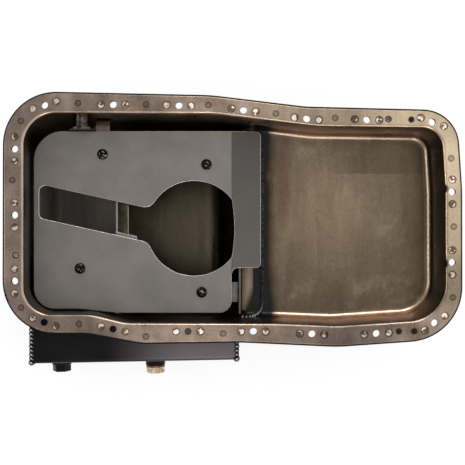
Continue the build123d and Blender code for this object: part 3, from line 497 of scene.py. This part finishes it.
# %% Darker and lighter areas of the rail
# The middle and the radius of each area in mm, and how much lighter it makes the steel.
rail_areas = [
    ((100, 97), 64, -0.34),
    ((108, -110), 54, -0.45),
    ((48, -109), 34, -0.30),
    ((211, -60), 36, -0.38),
    ((-148, -102), 26, -0.30),
    ((-12, 107), 56, 0.28),
    ((-120, 110), 60, 0.14),
    ((-48, -107), 70, 0.26),
    ((211, 52), 36, 0.38),
]
rail_change = None
for (x, y), radius, change in rail_areas:
    away = add_node(
        tree, "VectorMath", {"operation": "DISTANCE", 1: (x * mm, y * mm, 0.0)}, {0: (where, "Object")}
    )
    area = add_node(
        tree, "MapRange",
        {"From Min": radius * mm, "From Max": 0.3 * radius * mm, "To Max": change, **soft},
        {"Value": (away, "Value")},
    )
    if rail_change is None:
        rail_change = area
    else:
        rail_change = add_node(tree, "Math", "ADD", {0: rail_change, 1: area})
on_rail = add_node(tree, "MapRange", {"From Min": -5 * mm, "From Max": -2 * mm}, {"Value": at_z})
rail_tone = add_node(tree, "Math", {"operation": "MULTIPLY_ADD", 2: 1.0}, {0: rail_change, 1: on_rail})
print("areas on the rail:", len(rail_areas))

# %% [markdown]
# Fine speckle breaks up every layer. It is drawn about two millimetres wide, which is coarser
# than it really is, so that it shows. The rolled grain is finer still and only catches the light.

# %% Speckle and streaks of the shell
speckle = add_node(
    tree, "TexNoise", {"Scale": per_mm(2.2), "Detail": 6.0, "Roughness": 0.7},
    {"Vector": (where, "Object")},
)
speckle_tone = add_node(
    tree, "MapRange", {"From Min": 0.3, "From Max": 0.7, "To Min": 0.8, "To Max": 1.12},
    {"Value": (speckle, "Fac")},
)
streak_tone = add_node(
    tree, "MapRange", {"From Min": 0.35, "From Max": 0.65, "To Min": 0.87, "To Max": 1.13},
    {"Value": (streaks, "Fac")},
)
cloud_tone = add_node(
    tree, "MapRange", {"From Min": 0.32, "From Max": 0.68, "To Min": 0.92, "To Max": 1.08},
    {"Value": (blotch, "Fac")},
)
drawn_tone = add_node(tree, "Math", "MULTIPLY", {0: streak_tone, 1: cloud_tone})
rail_drawn_tone = add_node(tree, "Math", "MULTIPLY", {0: drawn_tone, 1: rail_tone})
tone = add_node(tree, "Math", "MULTIPLY", {0: speckle_tone, 1: rail_drawn_tone})
finished_colour = add_node(tree, "VectorMath", "SCALE", {0: colour, "Scale": tone})
join(tree, shader, {"Base Color": finished_colour})
print("tones of the shell: speckle, streaks, clouds and rail")

# %% Metal, gloss and grain of the shell
# Thick varnish hides the metal on the ledge and in the left chamber.
varnish = add_node(tree, "Math", "MAXIMUM", {0: lit_ledge, 1: chamber})
covered = add_node(tree, "Math", "MAXIMUM", {0: paint, 1: varnish})
bare = add_node(tree, "Math", {"operation": "SUBTRACT", 0: 1.0}, {1: covered})
gloss = add_node(
    tree, "MapRange", {"From Min": 0.3, "From Max": 0.7, "To Min": 0.24, "To Max": 0.38},
    {"Value": (blotch, "Fac")},
)
painted_gloss = add_node(tree, "Mix", {"data_type": "FLOAT", 3: 0.28}, {0: paint, 2: gloss})
grain = add_node(tree, "TexNoise", {"Scale": per_mm(0.5), "Detail": 3.0}, {"Vector": (where, "Object")})
dents = add_node(tree, "Math", {"operation": "MULTIPLY_ADD", 1: -4.0}, {0: marks, 2: grain})
relief = add_node(tree, "Bump", {"Strength": 0.35, "Distance": 0.05 * mm}, {"Height": dents})
join(tree, shader, {"Metallic": bare, "Roughness": painted_gloss, "Normal": relief})
shader.inputs["Specular IOR Level"].default_value = 0.15
nodes["pan_shell"].data.materials.clear()
nodes["pan_shell"].data.materials.append(varnished_steel)
print("finish on the shell:", varnished_steel.name)

# %% [markdown]
# The tray, its brackets and the baffles are cut from bright rolled steel sheet. It is an even,
# slightly warm grey with a faint cloudy stain and fine rolling lines along the sheet. Metal keeps
# the default IOR, and its look comes from its colour and its roughness.

# %% Rolled steel sheet
rolled_steel, tree, shader, where = start_finish("grey_rolled_steel")
cloud = add_node(
    tree, "TexNoise", {"Scale": per_mm(24), "Detail": 4.0, "Roughness": 0.6},
    {"Vector": (where, "Object")},
)
along_sheet = add_node(tree, "Mapping", {"Scale": (1.0, 14.0, 14.0)}, {"Vector": (where, "Object")})
rolling_lines = add_node(tree, "TexNoise", {"Scale": per_mm(9), "Detail": 4.0}, {"Vector": along_sheet})
sheet_tones = add_node(
    tree, "ValToRGB", links={0: (cloud, "Fac")}, stops=((0.35, "#7A7672"), (0.68, "#86807B"))
)
sheet_place = add_node(tree, "SeparateXYZ", links={0: (where, "Object")})
# The folded wing gets painted shade, darkest at the rear.
wing_shade_share = add_node(
    tree, "MapRange", {"From Min": 80 * mm, "From Max": -68 * mm, "To Min": 0.88, "To Max": 0.62},
    {"Value": (sheet_place, "Y")},
)
wing_shade = add_node(
    tree, "MapRange", {"From Min": -1.5 * mm, "From Max": -0.5 * mm},
    {"Value": (sheet_place, "X"), "To Max": wing_shade_share},
)
wing_shaded = add_node(
    tree, "Mix", {"data_type": "RGBA", 7: linear("#4C4A47")}, {0: wing_shade, 6: sheet_tones}
)
# The deburred edges get a painted highlight, and only they are tilted between flat and upright.
sheet_facing = add_node(tree, "SeparateXYZ", links={0: (where, "Normal")})
tilted = add_node(tree, "Math", {"operation": "COMPARE", 1: 0.6, 2: 0.34}, {0: (sheet_facing, "Z")})
edge_highlighted = add_node(tree, "Mix", {"data_type": "RGBA", 7: linear("#E9E2DA")}, {0: tilted, 6: (wing_shaded, 2)})
sheet_gloss = add_node(
    tree, "MapRange", {"From Min": 0.3, "From Max": 0.7, "To Min": 0.42, "To Max": 0.52},
    {"Value": (rolling_lines, "Fac")},
)
sheet_relief = add_node(
    tree, "Bump", {"Strength": 0.2, "Distance": 0.03 * mm}, {"Height": (rolling_lines, "Fac")}
)
join(tree, shader, {"Base Color": (edge_highlighted, 2), "Roughness": sheet_gloss, "Normal": sheet_relief})
shader.inputs["Metallic"].default_value = 1.0
print("made", rolled_steel.name)

# %% [markdown]
# The side box, its bungs and the bar under the rail wear satin black paint, sprayed on and cured.
# It shows a low even sheen, broken by the faint waves of the sprayed skin. Paint isn't metallic,
# so its colour stays dark and its highlights stay white.

# %% Satin black paint
black_paint, tree, shader, where = start_finish("satin_black_paint")
spray_waves = add_node(
    tree, "TexNoise", {"Scale": per_mm(1.6), "Detail": 2.0}, {"Vector": (where, "Object")}
)
dust = add_node(
    tree, "TexNoise", {"Scale": per_mm(30), "Detail": 5.0, "Roughness": 0.65},
    {"Vector": (where, "Object")},
)
paint_tones = add_node(
    tree, "ValToRGB", links={0: (dust, "Fac")}, stops=((0.35, "#0A0A0A"), (0.75, "#151413"))
)
# A painted sheen lies on the box's top, brighter to the right.
box_place = add_node(tree, "SeparateXYZ", links={0: (where, "Object")})
box_facing = add_node(tree, "SeparateXYZ", links={0: (where, "Normal")})
sheen_to_right = add_node(
    tree, "MapRange", {"From Min": -132 * mm, "From Max": -38 * mm, **soft}, {"Value": (box_place, "X")}
)
level_face = add_node(
    tree, "MapRange", {"From Min": 0.6, "From Max": 0.95}, {"Value": (box_facing, "Z")}
)
below_bar = add_node(tree, "Math", {"operation": "LESS_THAN", 1: -20 * mm}, {0: (box_place, "Z")})
sheen_on_top = add_node(tree, "Math", "MULTIPLY", {0: sheen_to_right, 1: level_face})
# The bungs stick out past the box's front, and get no painted sheen.
box_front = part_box("kickout_channel")[0].y
behind_front = add_node(
    tree, "Math", {"operation": "GREATER_THAN", 1: box_front}, {0: (box_place, "Y")}
)
on_box = add_node(tree, "Math", "MULTIPLY", {0: below_bar, 1: behind_front})
sheen_share = add_node(tree, "Math", "MULTIPLY", {0: sheen_on_top, 1: on_box})
sheen_painted = add_node(
    tree, "Mix", {"data_type": "RGBA", 7: linear("#736B6D")}, {0: sheen_share, 6: paint_tones}
)
paint_gloss = add_node(
    tree, "MapRange", {"From Min": 0.3, "From Max": 0.7, "To Min": 0.26, "To Max": 0.42},
    {"Value": (dust, "Fac")},
)
paint_relief = add_node(
    tree, "Bump", {"Strength": 0.25, "Distance": 0.04 * mm}, {"Height": (spray_waves, "Fac")}
)
join(tree, shader, {"Base Color": (sheen_painted, 2), "Roughness": paint_gloss, "Normal": paint_relief})
shader.inputs["IOR"].default_value = 1.5
shader.inputs["Specular IOR Level"].default_value = 0.12
print("made", black_paint.name)

# %% [markdown]
# Small parts differ mostly in their plating. Zinc is a bright cool grey, black oxide is a dark
# skin that lets the steel's sheen through, the washer is soft annealed copper and the drain plug
# is yellow-plated steel. They share one recipe: a metal with a cloud of two close tones.

# %% Plated and turned small parts
# Dark and light tone, least and greatest roughness, and the size of the clouds in mm.
plating = {
    "zinc_plated_steel": ("#A8A49D", "#C9C5BC", 0.32, 0.46, 8.0),
    "annealed_copper": ("#6E4630", "#B98058", 0.34, 0.5, 4.0),
    "yellow_plated_steel": ("#8F6F4A", "#F1E3CC", 0.2, 0.36, 3.5),
    "stained_strip_steel": ("#5C544D", "#7A7068", 0.38, 0.5, 7.0),
    # The wall fitting and the baffle's fold are painted darker, as the shade they lie in.
    "shaded_strip_steel": ("#2E2B22", "#423E33", 0.14, 0.3, 6.0),
    "shaded_zinc_steel": ("#2B2522", "#665C55", 0.14, 0.3, 6.0),
}
small_part = {}
for name, (dark, light, smooth, rough, cloud_size) in plating.items():
    finish, tree, shader, where = start_finish(name)
    cloud = add_node(
        tree, "TexNoise", {"Scale": per_mm(cloud_size), "Detail": 5.0, "Roughness": 0.65},
        {"Vector": (where, "Object")},
    )
    tones = add_node(
        tree, "ValToRGB", links={0: (cloud, "Fac")}, stops=((0.35, dark), (0.7, light))
    )
    sheen = add_node(
        tree, "MapRange", {"From Min": 0.3, "From Max": 0.7, "To Min": smooth, "To Max": rough},
        {"Value": (cloud, "Fac")},
    )
    join(tree, shader, {"Base Color": tones, "Roughness": sheen})
    shader.inputs["Metallic"].default_value = 1.0
    small_part[name] = finish
print("made", ", ".join(small_part))

# %% [markdown]
# The black oxide on the tray screws gets painted highlights, as bright specks. A sharp threshold
# on fine noise gives the specks. A wide one would only grey the head.

# %% Black oxide with painted glints
oxide_with_glints, tree, shader, where = start_finish("black_oxide_with_glints")
glint_specks = add_node(
    tree, "TexNoise", {"Scale": per_mm(2.0), "Detail": 3.0, "Roughness": 0.6},
    {"Vector": (where, "Object")},
)
oxide_tones = add_node(
    tree, "ValToRGB", links={0: (glint_specks, "Fac")}, stops=((0.58, "#141212"), (0.63, "#A39C94"))
)
oxide_gloss = add_node(
    tree, "MapRange", {"From Min": 0.4, "From Max": 0.65, "To Min": 0.4, "To Max": 0.22},
    {"Value": (glint_specks, "Fac")},
)
join(tree, shader, {"Base Color": oxide_tones, "Roughness": oxide_gloss})
shader.inputs["Metallic"].default_value = 1.0
print("made", oxide_with_glints.name)

# %% [markdown]
# A weld bead is a row of ripples, one for each step of the torch, painted over with the rest of
# the box. At the front each ripple is glossy and gets a painted highlight on its crown. Further
# back, inside the tub, the bead is dull with soot.

# %% Painted weld
painted_weld, tree, shader, where = start_finish("painted_weld_bead")
soot = add_node(tree, "TexNoise", {"Scale": per_mm(2.5), "Detail": 4.0}, {"Vector": (where, "Object")})
soot_tones = add_node(
    tree, "ValToRGB", links={0: (soot, "Fac")}, stops=((0.4, "#161616"), (0.72, "#4B4A48"))
)
# The crowns of the ripples near the front get a painted highlight.
weld_facing = add_node(tree, "SeparateXYZ", links={0: (where, "Normal")})
crowns = add_node(
    tree, "MapRange", {"From Min": 0.9, "From Max": 0.975, "To Max": 0.95},
    {"Value": (weld_facing, "Z")},
)
weld_place = add_node(tree, "SeparateXYZ", links={0: (where, "Object")})
near_front = add_node(
    tree, "MapRange", {"From Min": -84 * mm, "From Max": -98 * mm}, {"Value": (weld_place, "Y")}
)
crown_highlights = add_node(tree, "Math", "MULTIPLY", {0: crowns, 1: near_front})
highlighted = add_node(
    tree, "Mix", {"data_type": "RGBA", 7: linear("#D2CDC6")}, {0: crown_highlights, 6: soot_tones}
)
soot_relief = add_node(
    tree, "Bump", {"Strength": 0.5, "Distance": 0.15 * mm}, {"Height": (soot, "Fac")}
)
weld_gloss = add_node(tree, "MapRange", {"To Min": 0.8, "To Max": 0.22}, {"Value": near_front})
weld_coat = add_node(tree, "Math", {"operation": "MULTIPLY", 1: 0.6}, {0: near_front})
weld_metal = add_node(tree, "Math", {"operation": "MULTIPLY", 1: 0.35}, {0: near_front})
join(tree, shader, {"Base Color": (highlighted, 2), "Roughness": weld_gloss, "Normal": soot_relief})
join(tree, shader, {"Metallic": weld_metal, "Coat Weight": weld_coat})
shader.inputs["Specular IOR Level"].default_value = 0.3
shader.inputs["Coat Roughness"].default_value = 0.1
print("made", painted_weld.name)

# %% [markdown]
# Every solid piece now gets its finish, in place of any material that it was loaded with. Pieces
# that get a copy with rounded edges further down are dressed too, so that none is left bare.

# %% Dress the solid pieces
zinc, strip_steel = small_part["zinc_plated_steel"], small_part["stained_strip_steel"]
shaded_zinc, yellow = small_part["shaded_zinc_steel"], small_part["yellow_plated_steel"]
dressed = {"pan_shell"}
for finish, names in (
    (black_paint, "rail_stiffener kickout_channel kickout_left_end kickout_right_end"),
    (black_paint, "kickout_gusset drain_bung level_bung level_plug"),
    (painted_weld, "left_end_weld right_end_weld ramp_weld"),
    (rolled_steel, "windage_tray tray_rest gasket_pins left_baffle right_baffle rear_baffle"),
    (strip_steel, "rear_left_bracket rear_right_bracket front_left_bracket front_right_bracket"),
    (oxide_with_glints, "tray_screws"),
    (zinc, "tray_nuts left_trap_door right_trap_door left_hinge_pin right_hinge_pin"),
    (shaded_zinc, "wall_fitting fitting_disc"),
    (small_part["annealed_copper"], "drain_washer"),
    (yellow, "drain_plug"),
):
    for name in names.split():
        nodes[name].data.materials.clear()
        nodes[name].data.materials.append(finish)
        dressed.add(name)
print("dressed", len(dressed), "solid pieces")

# %% [markdown]
# Sheet metal is sheared or cut by laser, and its edges are then deburred. The narrow rounding
# catches the light as a bright line, so the tray and the parts beside it need it. A copy of each
# solid piece has its loose triangles merged and its flat faces joined. A Bevel modifier then
# rounds every edge sharper than a limit, which is quicker and more even than picking the edges.


# %% Round the sharp edges of a copy
def round_edges(piece, radius, clamp=True):
    """Rounds every edge of the active piece that is sharper than a limit, and smooths it."""
    bevel = piece.modifiers.new("rounded_edges", "BEVEL")
    bevel.width = radius
    bevel.segments = 2
    bevel.limit_method = "ANGLE"
    bevel.angle_limit = math.radians(40)
    bevel.use_clamp_overlap = clamp
    bpy.ops.object.modifier_apply(modifier=bevel.name)
    bpy.ops.object.shade_smooth_by_angle(angle=math.radians(50))


def deburr(node_name, piece_name, radius, finish, clamp=True):
    """A copy of a solid piece with its sharp edges rounded, which stands for that piece."""
    bpy.ops.object.select_all(action="DESELECT")
    piece = nodes[node_name].copy()
    piece.data = nodes[node_name].data.copy()
    piece.name = piece_name
    piece.parent = None
    for key in list(piece.keys()):
        del piece[key]
    bpy.context.scene.collection.objects.link(piece)
    bpy.context.view_layer.objects.active = piece
    piece.select_set(True)
    bpy.ops.object.mode_set(mode="EDIT")
    bpy.ops.mesh.select_all(action="SELECT")
    bpy.ops.mesh.remove_doubles(threshold=0.002 * mm)
    bpy.ops.mesh.dissolve_limited(angle_limit=math.radians(0.6))
    bpy.ops.object.mode_set(mode="OBJECT")
    round_edges(piece, radius, clamp)
    # Large flat faces keep their own normals, so that they stay flat to the eye.
    flatten = piece.modifiers.new("flat_faces", "WEIGHTED_NORMAL")
    flatten.keep_sharp = True
    bpy.ops.object.modifier_apply(modifier=flatten.name)
    piece.data.materials.clear()
    piece.data.materials.append(finish)
    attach(piece, "pan")
    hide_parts(node_name)
    return piece


# The short steps of its curves would hold the rounding back, so the tray goes without the clamp.
tray = deburr("windage_tray", "deburred_tray", 0.6 * mm, rolled_steel, clamp=False)
print(tray.name, "faces:", len(tray.data.polygons))

# %% Deburr the parts beside the tray
for name, finish in (
    ("left_baffle", rolled_steel),
    ("right_baffle", rolled_steel),
    ("tray_rest", rolled_steel),
    ("rear_left_bracket", strip_steel),
    ("front_right_bracket", strip_steel),
):
    piece = deburr(name, "deburred_" + name, 0.4 * mm, finish)
    print(piece.name, "faces:", len(piece.data.polygons))

# %% [markdown]
# The top of the left baffle is folded over towards the pickup, which stiffens the sheet, and the
# fold shows through the slot. It is a flat strip with two round corners at its free edge. A cube
# of its size is enough to start from, and only those two upright edges need a large rounding.

# %% Fold the top of the left baffle
baffle_low, baffle_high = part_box("left_baffle")
fold_reach, fold_length, fold_sheet, fold_middle_y = 10.9 * mm, 56 * mm, 1.6 * mm, 2 * mm
corner_radius, edge_rounding, tolerance = 4 * mm, 0.55 * mm, 0.1 * mm
free_edge_x = baffle_low.x + fold_sheet + fold_reach
bpy.ops.object.select_all(action="DESELECT")
bpy.ops.mesh.primitive_cube_add(
    size=1.0,
    location=(free_edge_x - fold_reach / 2, fold_middle_y, baffle_high.z - fold_sheet / 2),
    scale=(fold_reach, fold_length, fold_sheet),
)
bpy.ops.object.transform_apply(location=True, rotation=True, scale=True)
fold = bpy.context.object
fold.name = "left_baffle_fold"
bpy.ops.object.mode_set(mode="EDIT")
bpy.ops.mesh.select_all(action="DESELECT")
strip_mesh = bmesh.from_edit_mesh(fold.data)
for edge in strip_mesh.edges:
    first, second = (vertex.co for vertex in edge.verts)
    upright = abs(first.z - second.z) > fold_sheet / 2
    edge.select_set(upright and abs(first.x - free_edge_x) < tolerance)
bmesh.update_edit_mesh(fold.data)
bpy.ops.mesh.bevel(offset=corner_radius, segments=5)
bpy.ops.object.mode_set(mode="OBJECT")
round_edges(fold, edge_rounding)
print(fold.name, "faces:", len(fold.data.polygons))

# %% Finish the fold
fold.data.materials.append(small_part["shaded_strip_steel"])
fold.data.materials.append(zinc)
# The free edge gets a painted highlight, so its faces get a bright finish of their own.
highlight_width = 0.6 * mm
highlight_faces = [f for f in fold.data.polygons if f.center.x > free_edge_x - highlight_width]
for face in highlight_faces:
    face.material_index = 1
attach(fold, "pan")
print(fold.name, "rubbed faces:", len(highlight_faces))

# %% [markdown]
# Turned and forged parts have small roundings too: the heads of the plugs and screws, the rims of
# the bungs and the splash disc on the wall fitting. The same helper rounds them.

# %% Round the small parts
for name, radius, slot, finish in (
    ("tray_screws", 0.25, "black_screw", oxide_with_glints),
    ("drain_plug", 0.5, "plug_brass", yellow),
    ("level_plug", 0.5, "black_paint", black_paint),
    ("drain_bung", 0.4, "black_paint", black_paint),
    ("level_bung", 0.4, "black_paint", black_paint),
    ("fitting_disc", 0.5, "zinc_steel", shaded_zinc),
):
    piece = deburr(name, "rounded_" + name, radius * mm, finish)
    print(piece.name, "faces:", len(piece.data.polygons))

# %% [markdown]
# The welds are laid by hand, so each is a chain of overlapping ripples, one for each dab of the
# torch. One ripple is modelled from a sphere: squashed along its travel, and its crown pulled
# back over the one before. Copies of it are then laid along each seam with small differences in
# size and place, and joined.

# %% Model one ripple
bpy.ops.object.select_all(action="DESELECT")
# The crown starts at, and leans by, these shares of the radius.
ripple_radius, crown_height, crown_lean = 1 * mm, 0.6, 0.25
bpy.ops.mesh.primitive_uv_sphere_add(segments=14, ring_count=8, radius=ripple_radius)
ripple = bpy.context.object
ripple.name = "one_ripple"
bpy.ops.object.mode_set(mode="EDIT")
bpy.ops.mesh.select_all(action="SELECT")
bpy.ops.transform.resize(value=(1.0, 0.8, 1.0))
bpy.ops.mesh.select_all(action="DESELECT")
crown = bmesh.from_edit_mesh(ripple.data)
for vertex in crown.verts:
    vertex.select_set(vertex.co.z > crown_height * ripple_radius)
crown.select_flush_mode()
bmesh.update_edit_mesh(ripple.data)
bpy.ops.transform.translate(value=(0.0, -crown_lean * ripple_radius, 0.0))
bpy.ops.object.mode_set(mode="OBJECT")
bpy.ops.object.shade_smooth()
print("ripple faces:", len(ripple.data.polygons))


# %% Lay ripples along a seam
# How far off its place in mm, and how much smaller or larger, a hand lays a ripple.
hand_wobble, least_growth, most_growth = 0.15, 0.93, 1.07


def lay_weld(name, stations, replaced):
    """Copies of the ripple at (place, travel, outward, radius in mm), joined to one weld."""
    laid = []
    for place, travel, outward, size in stations:
        travel = Vector(travel).normalized()
        across = travel.cross(Vector(outward)).normalized()
        up = across.cross(travel).normalized()
        dab = ripple.copy()
        dab.data = ripple.data.copy()
        turn = Matrix((across, travel, up)).transposed().to_4x4()
        wobble = Vector([random.uniform(-hand_wobble, hand_wobble) for _ in range(3)])
        grow = Matrix.Scale(size * random.uniform(least_growth, most_growth), 4)
        move = Matrix.Translation((Vector(place) + wobble) * mm)
        dab.matrix_world = move @ turn @ grow
        bpy.context.scene.collection.objects.link(dab)
        laid.append(dab)
    bpy.ops.object.select_all(action="DESELECT")
    for dab in laid:
        dab.select_set(True)
    bpy.context.view_layer.objects.active = laid[0]
    bpy.ops.object.transform_apply(location=True, rotation=True, scale=True)
    bpy.ops.object.join()
    weld = bpy.context.object
    weld.name = name
    weld.data.materials.clear()
    weld.data.materials.append(painted_weld)
    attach(weld, "pan")
    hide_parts(replaced)
    print(name, "ripples:", len(laid))


def straight_run(start, end, outward, step, size):
    """Stations at even steps from one point to another."""
    start, end = Vector(start), Vector(end)
    count = max(1, round((end - start).length / step))
    return [(start.lerp(end, i / count), end - start, outward, size) for i in range(count + 1)]


random.seed(7)
print("ready to lay welds")

# %% [markdown]
# Each end plate of the side box is welded along its top and down its front, with a ball of metal
# where the two runs meet. The corners of the old solid welds say where the seams are.

# %% Weld the ends of the side box
# In mm, with the seam a little inside the old weld's box.
ripple_step, ripple_size, ball_size = 4.15, 2.7, 3.4
seam_inset, front_inset, top_inset, foot_inset = 0.3, 3.2, 2.9, 2.0
for name, replaced, side in (
    ("left_end_ripples", "left_end_weld", -1),
    ("right_end_ripples", "right_end_weld", 1),
):
    low, high = (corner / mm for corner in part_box(replaced))
    seam_x = (high.x if side < 0 else low.x) - side * seam_inset
    corner = Vector((seam_x, low.y + front_inset, high.z - top_inset))
    back = Vector((seam_x, high.y, corner.z))
    foot = Vector((seam_x, corner.y, low.z + foot_inset))
    stations = straight_run(back, corner, (side, 0, 1.4), ripple_step, ripple_size)
    stations += straight_run(corner, foot, (side, -1.4, 0), ripple_step, ripple_size)
    stations.append((corner, (0, -1, 0), (side, 0, 1), ball_size))
    lay_weld(name, stations, replaced)

# %% [markdown]
# The seam between the deep sump and the shallow bay runs straight across the floor, turns up
# round the front corner and goes back along the front wall. A quadratic curve through the corner
# gives the places in the turn.

# %% Weld the seam in the tub
low, high = (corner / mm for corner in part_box("ramp_weld"))
floor_x, wall_y = 30.4, -98.0
floor_height, wall_height = -58.2, -50.0
turn_start_y, turn_end_x, corner_lift, end_inset = -84.0, 14.0, 1.0, 1.0
floor_step, wall_step, turn_steps = 2.5, 2.9, 10
floor_size, turn_size, wall_size = 2.3, 2.5, 2.4
floor_start = Vector((floor_x, high.y, floor_height))
turn_start = Vector((floor_x, turn_start_y, floor_height))
turn_corner = Vector((floor_x, wall_y, floor_height + corner_lift))
turn_end = Vector((turn_end_x, wall_y, wall_height))
wall_end = Vector((low.x + end_inset, wall_y, wall_height))
stations = straight_run(floor_start, turn_start, (0, 0, 1), floor_step, floor_size)
for i in range(1, turn_steps):
    t = i / turn_steps
    there = turn_start * (1 - t) ** 2 + turn_corner * 2 * t * (1 - t) + turn_end * t**2
    heading = (turn_corner - turn_start) * (1 - t) + (turn_end - turn_corner) * t
    stations.append((there, heading, (-t, t, 1), turn_size))
stations += straight_run(turn_end, wall_end, (0, 1, 0.3), wall_step, wall_size)
lay_weld("seam_ripples", stations, "ramp_weld")
bpy.data.objects.remove(ripple)

# %% [markdown]
# The pan stands on a plain pale floor. The camera sees the floor as white, and a little of its
# own shading is kept so that the pan still throws a soft shadow.

# %% Floor
floor_z = box_at_load[0][2]
floor_width = 4.0
bpy.ops.mesh.primitive_plane_add(size=floor_width, location=(0.0, 0.0, floor_z))
floor = bpy.context.object
floor.name = "pale_floor"
pale, tree, shader, where = start_finish("pale_studio_floor")
tree.nodes.remove(shader)
output = tree.nodes["Material Output"]
fibre = add_node(tree, "TexNoise", {"Scale": per_mm(60), "Detail": 3.0}, {"Vector": (where, "Object")})
paper_tone = add_node(tree, "MapRange", {"To Min": 0.78, "To Max": 0.82}, {"Value": (fibre, "Fac")})
paper = add_node(tree, "BsdfDiffuse", links={"Color": paper_tone})
seen_shade = add_node(tree, "BsdfDiffuse", {"Color": (0.25, 0.25, 0.25, 1.0)})
seen_white = add_node(tree, "Emission", {"Color": (1.0, 1.0, 1.0, 1.0), "Strength": 0.8})
seen = add_node(tree, "AddShader", links={0: seen_shade, 1: seen_white})
ray = add_node(tree, "LightPath")
direct = add_node(tree, "Math", "MAXIMUM", {0: (ray, "Is Camera Ray"), 1: (ray, "Is Glossy Ray")})
clear = add_node(tree, "Math", "MAXIMUM", {0: direct, 1: (ray, "Is Transmission Ray")})
surface = add_node(tree, "MixShader", links={0: clear, 1: paper, 2: seen})
join(tree, output, {"Surface": surface})
floor.data.materials.append(pale)
print("floor at", round(floor_z, 4))

# %% [markdown]
# A studio lights such a part with large soft boxes in a pale room. The room is brighter towards
# the right, which gives the right end of the rail its shine. A key box hangs high on the right,
# a small one hangs nearer over the front rail, and low boxes in front, behind and on the left
# draw bright lines along the bends. The camera sees the room itself as plain white.

# %% Light the room
world = bpy.data.worlds.new("studio_room")
world.use_nodes = True
bpy.context.scene.world = world
tree = world.node_tree
room = tree.nodes["Background"]
ray = add_node(tree, "LightPath")
looks = add_node(tree, "TexCoord")
side = add_node(tree, "SeparateXYZ", links={0: (looks, "Generated")})
room_tone = add_node(
    tree, "MapRange", {"From Min": -0.3, "From Max": 0.3, "To Min": 0.5, "To Max": 1.0},
    {"Value": (side, "X")},
)
strength = add_node(
    tree, "Mix", {"data_type": "FLOAT", 3: 1.0}, {0: (ray, "Is Camera Ray"), 2: room_tone}
)
join(tree, room, {"Strength": strength})
room.inputs["Color"].default_value = (1.0, 1.0, 1.0, 1.0)
print("room:", world.name)

# %% Hang the soft boxes
# Where each hangs, what it is turned to and its width, all in metres, and its power in watts.
pan_middle = (0.05, 0.0, -0.03)
soft_boxes = {
    "key_box": ((0.35, 0.3, 1.5), (0.05, 0.0, 0.0), 0.7, 1.0),
    "near_box": ((0.0, -0.29, 1.4), (0.0, -0.12, 0.0), 0.3, 0.4),
    "front_box": ((0.1, -1.1, 0.75), pan_middle, 0.45, 3.0),
    "rear_box": ((0.1, 1.1, 0.75), pan_middle, 0.45, 5.0),
    "left_box": ((-1.1, 0.0, 0.8), pan_middle, 0.35, 2.0),
}
for name, (hung, aim, width, power) in soft_boxes.items():
    lamp_data = bpy.data.lights.new(name, "AREA")
    lamp_data.size = width
    lamp_data.energy = power
    lamp = bpy.data.objects.new(name, lamp_data)
    lamp.location = hung
    lamp.rotation_euler = (Vector(aim) - Vector(hung)).to_track_quat("-Z", "Y").to_euler()
    bpy.context.scene.collection.objects.link(lamp)
print("soft boxes:", len(soft_boxes))
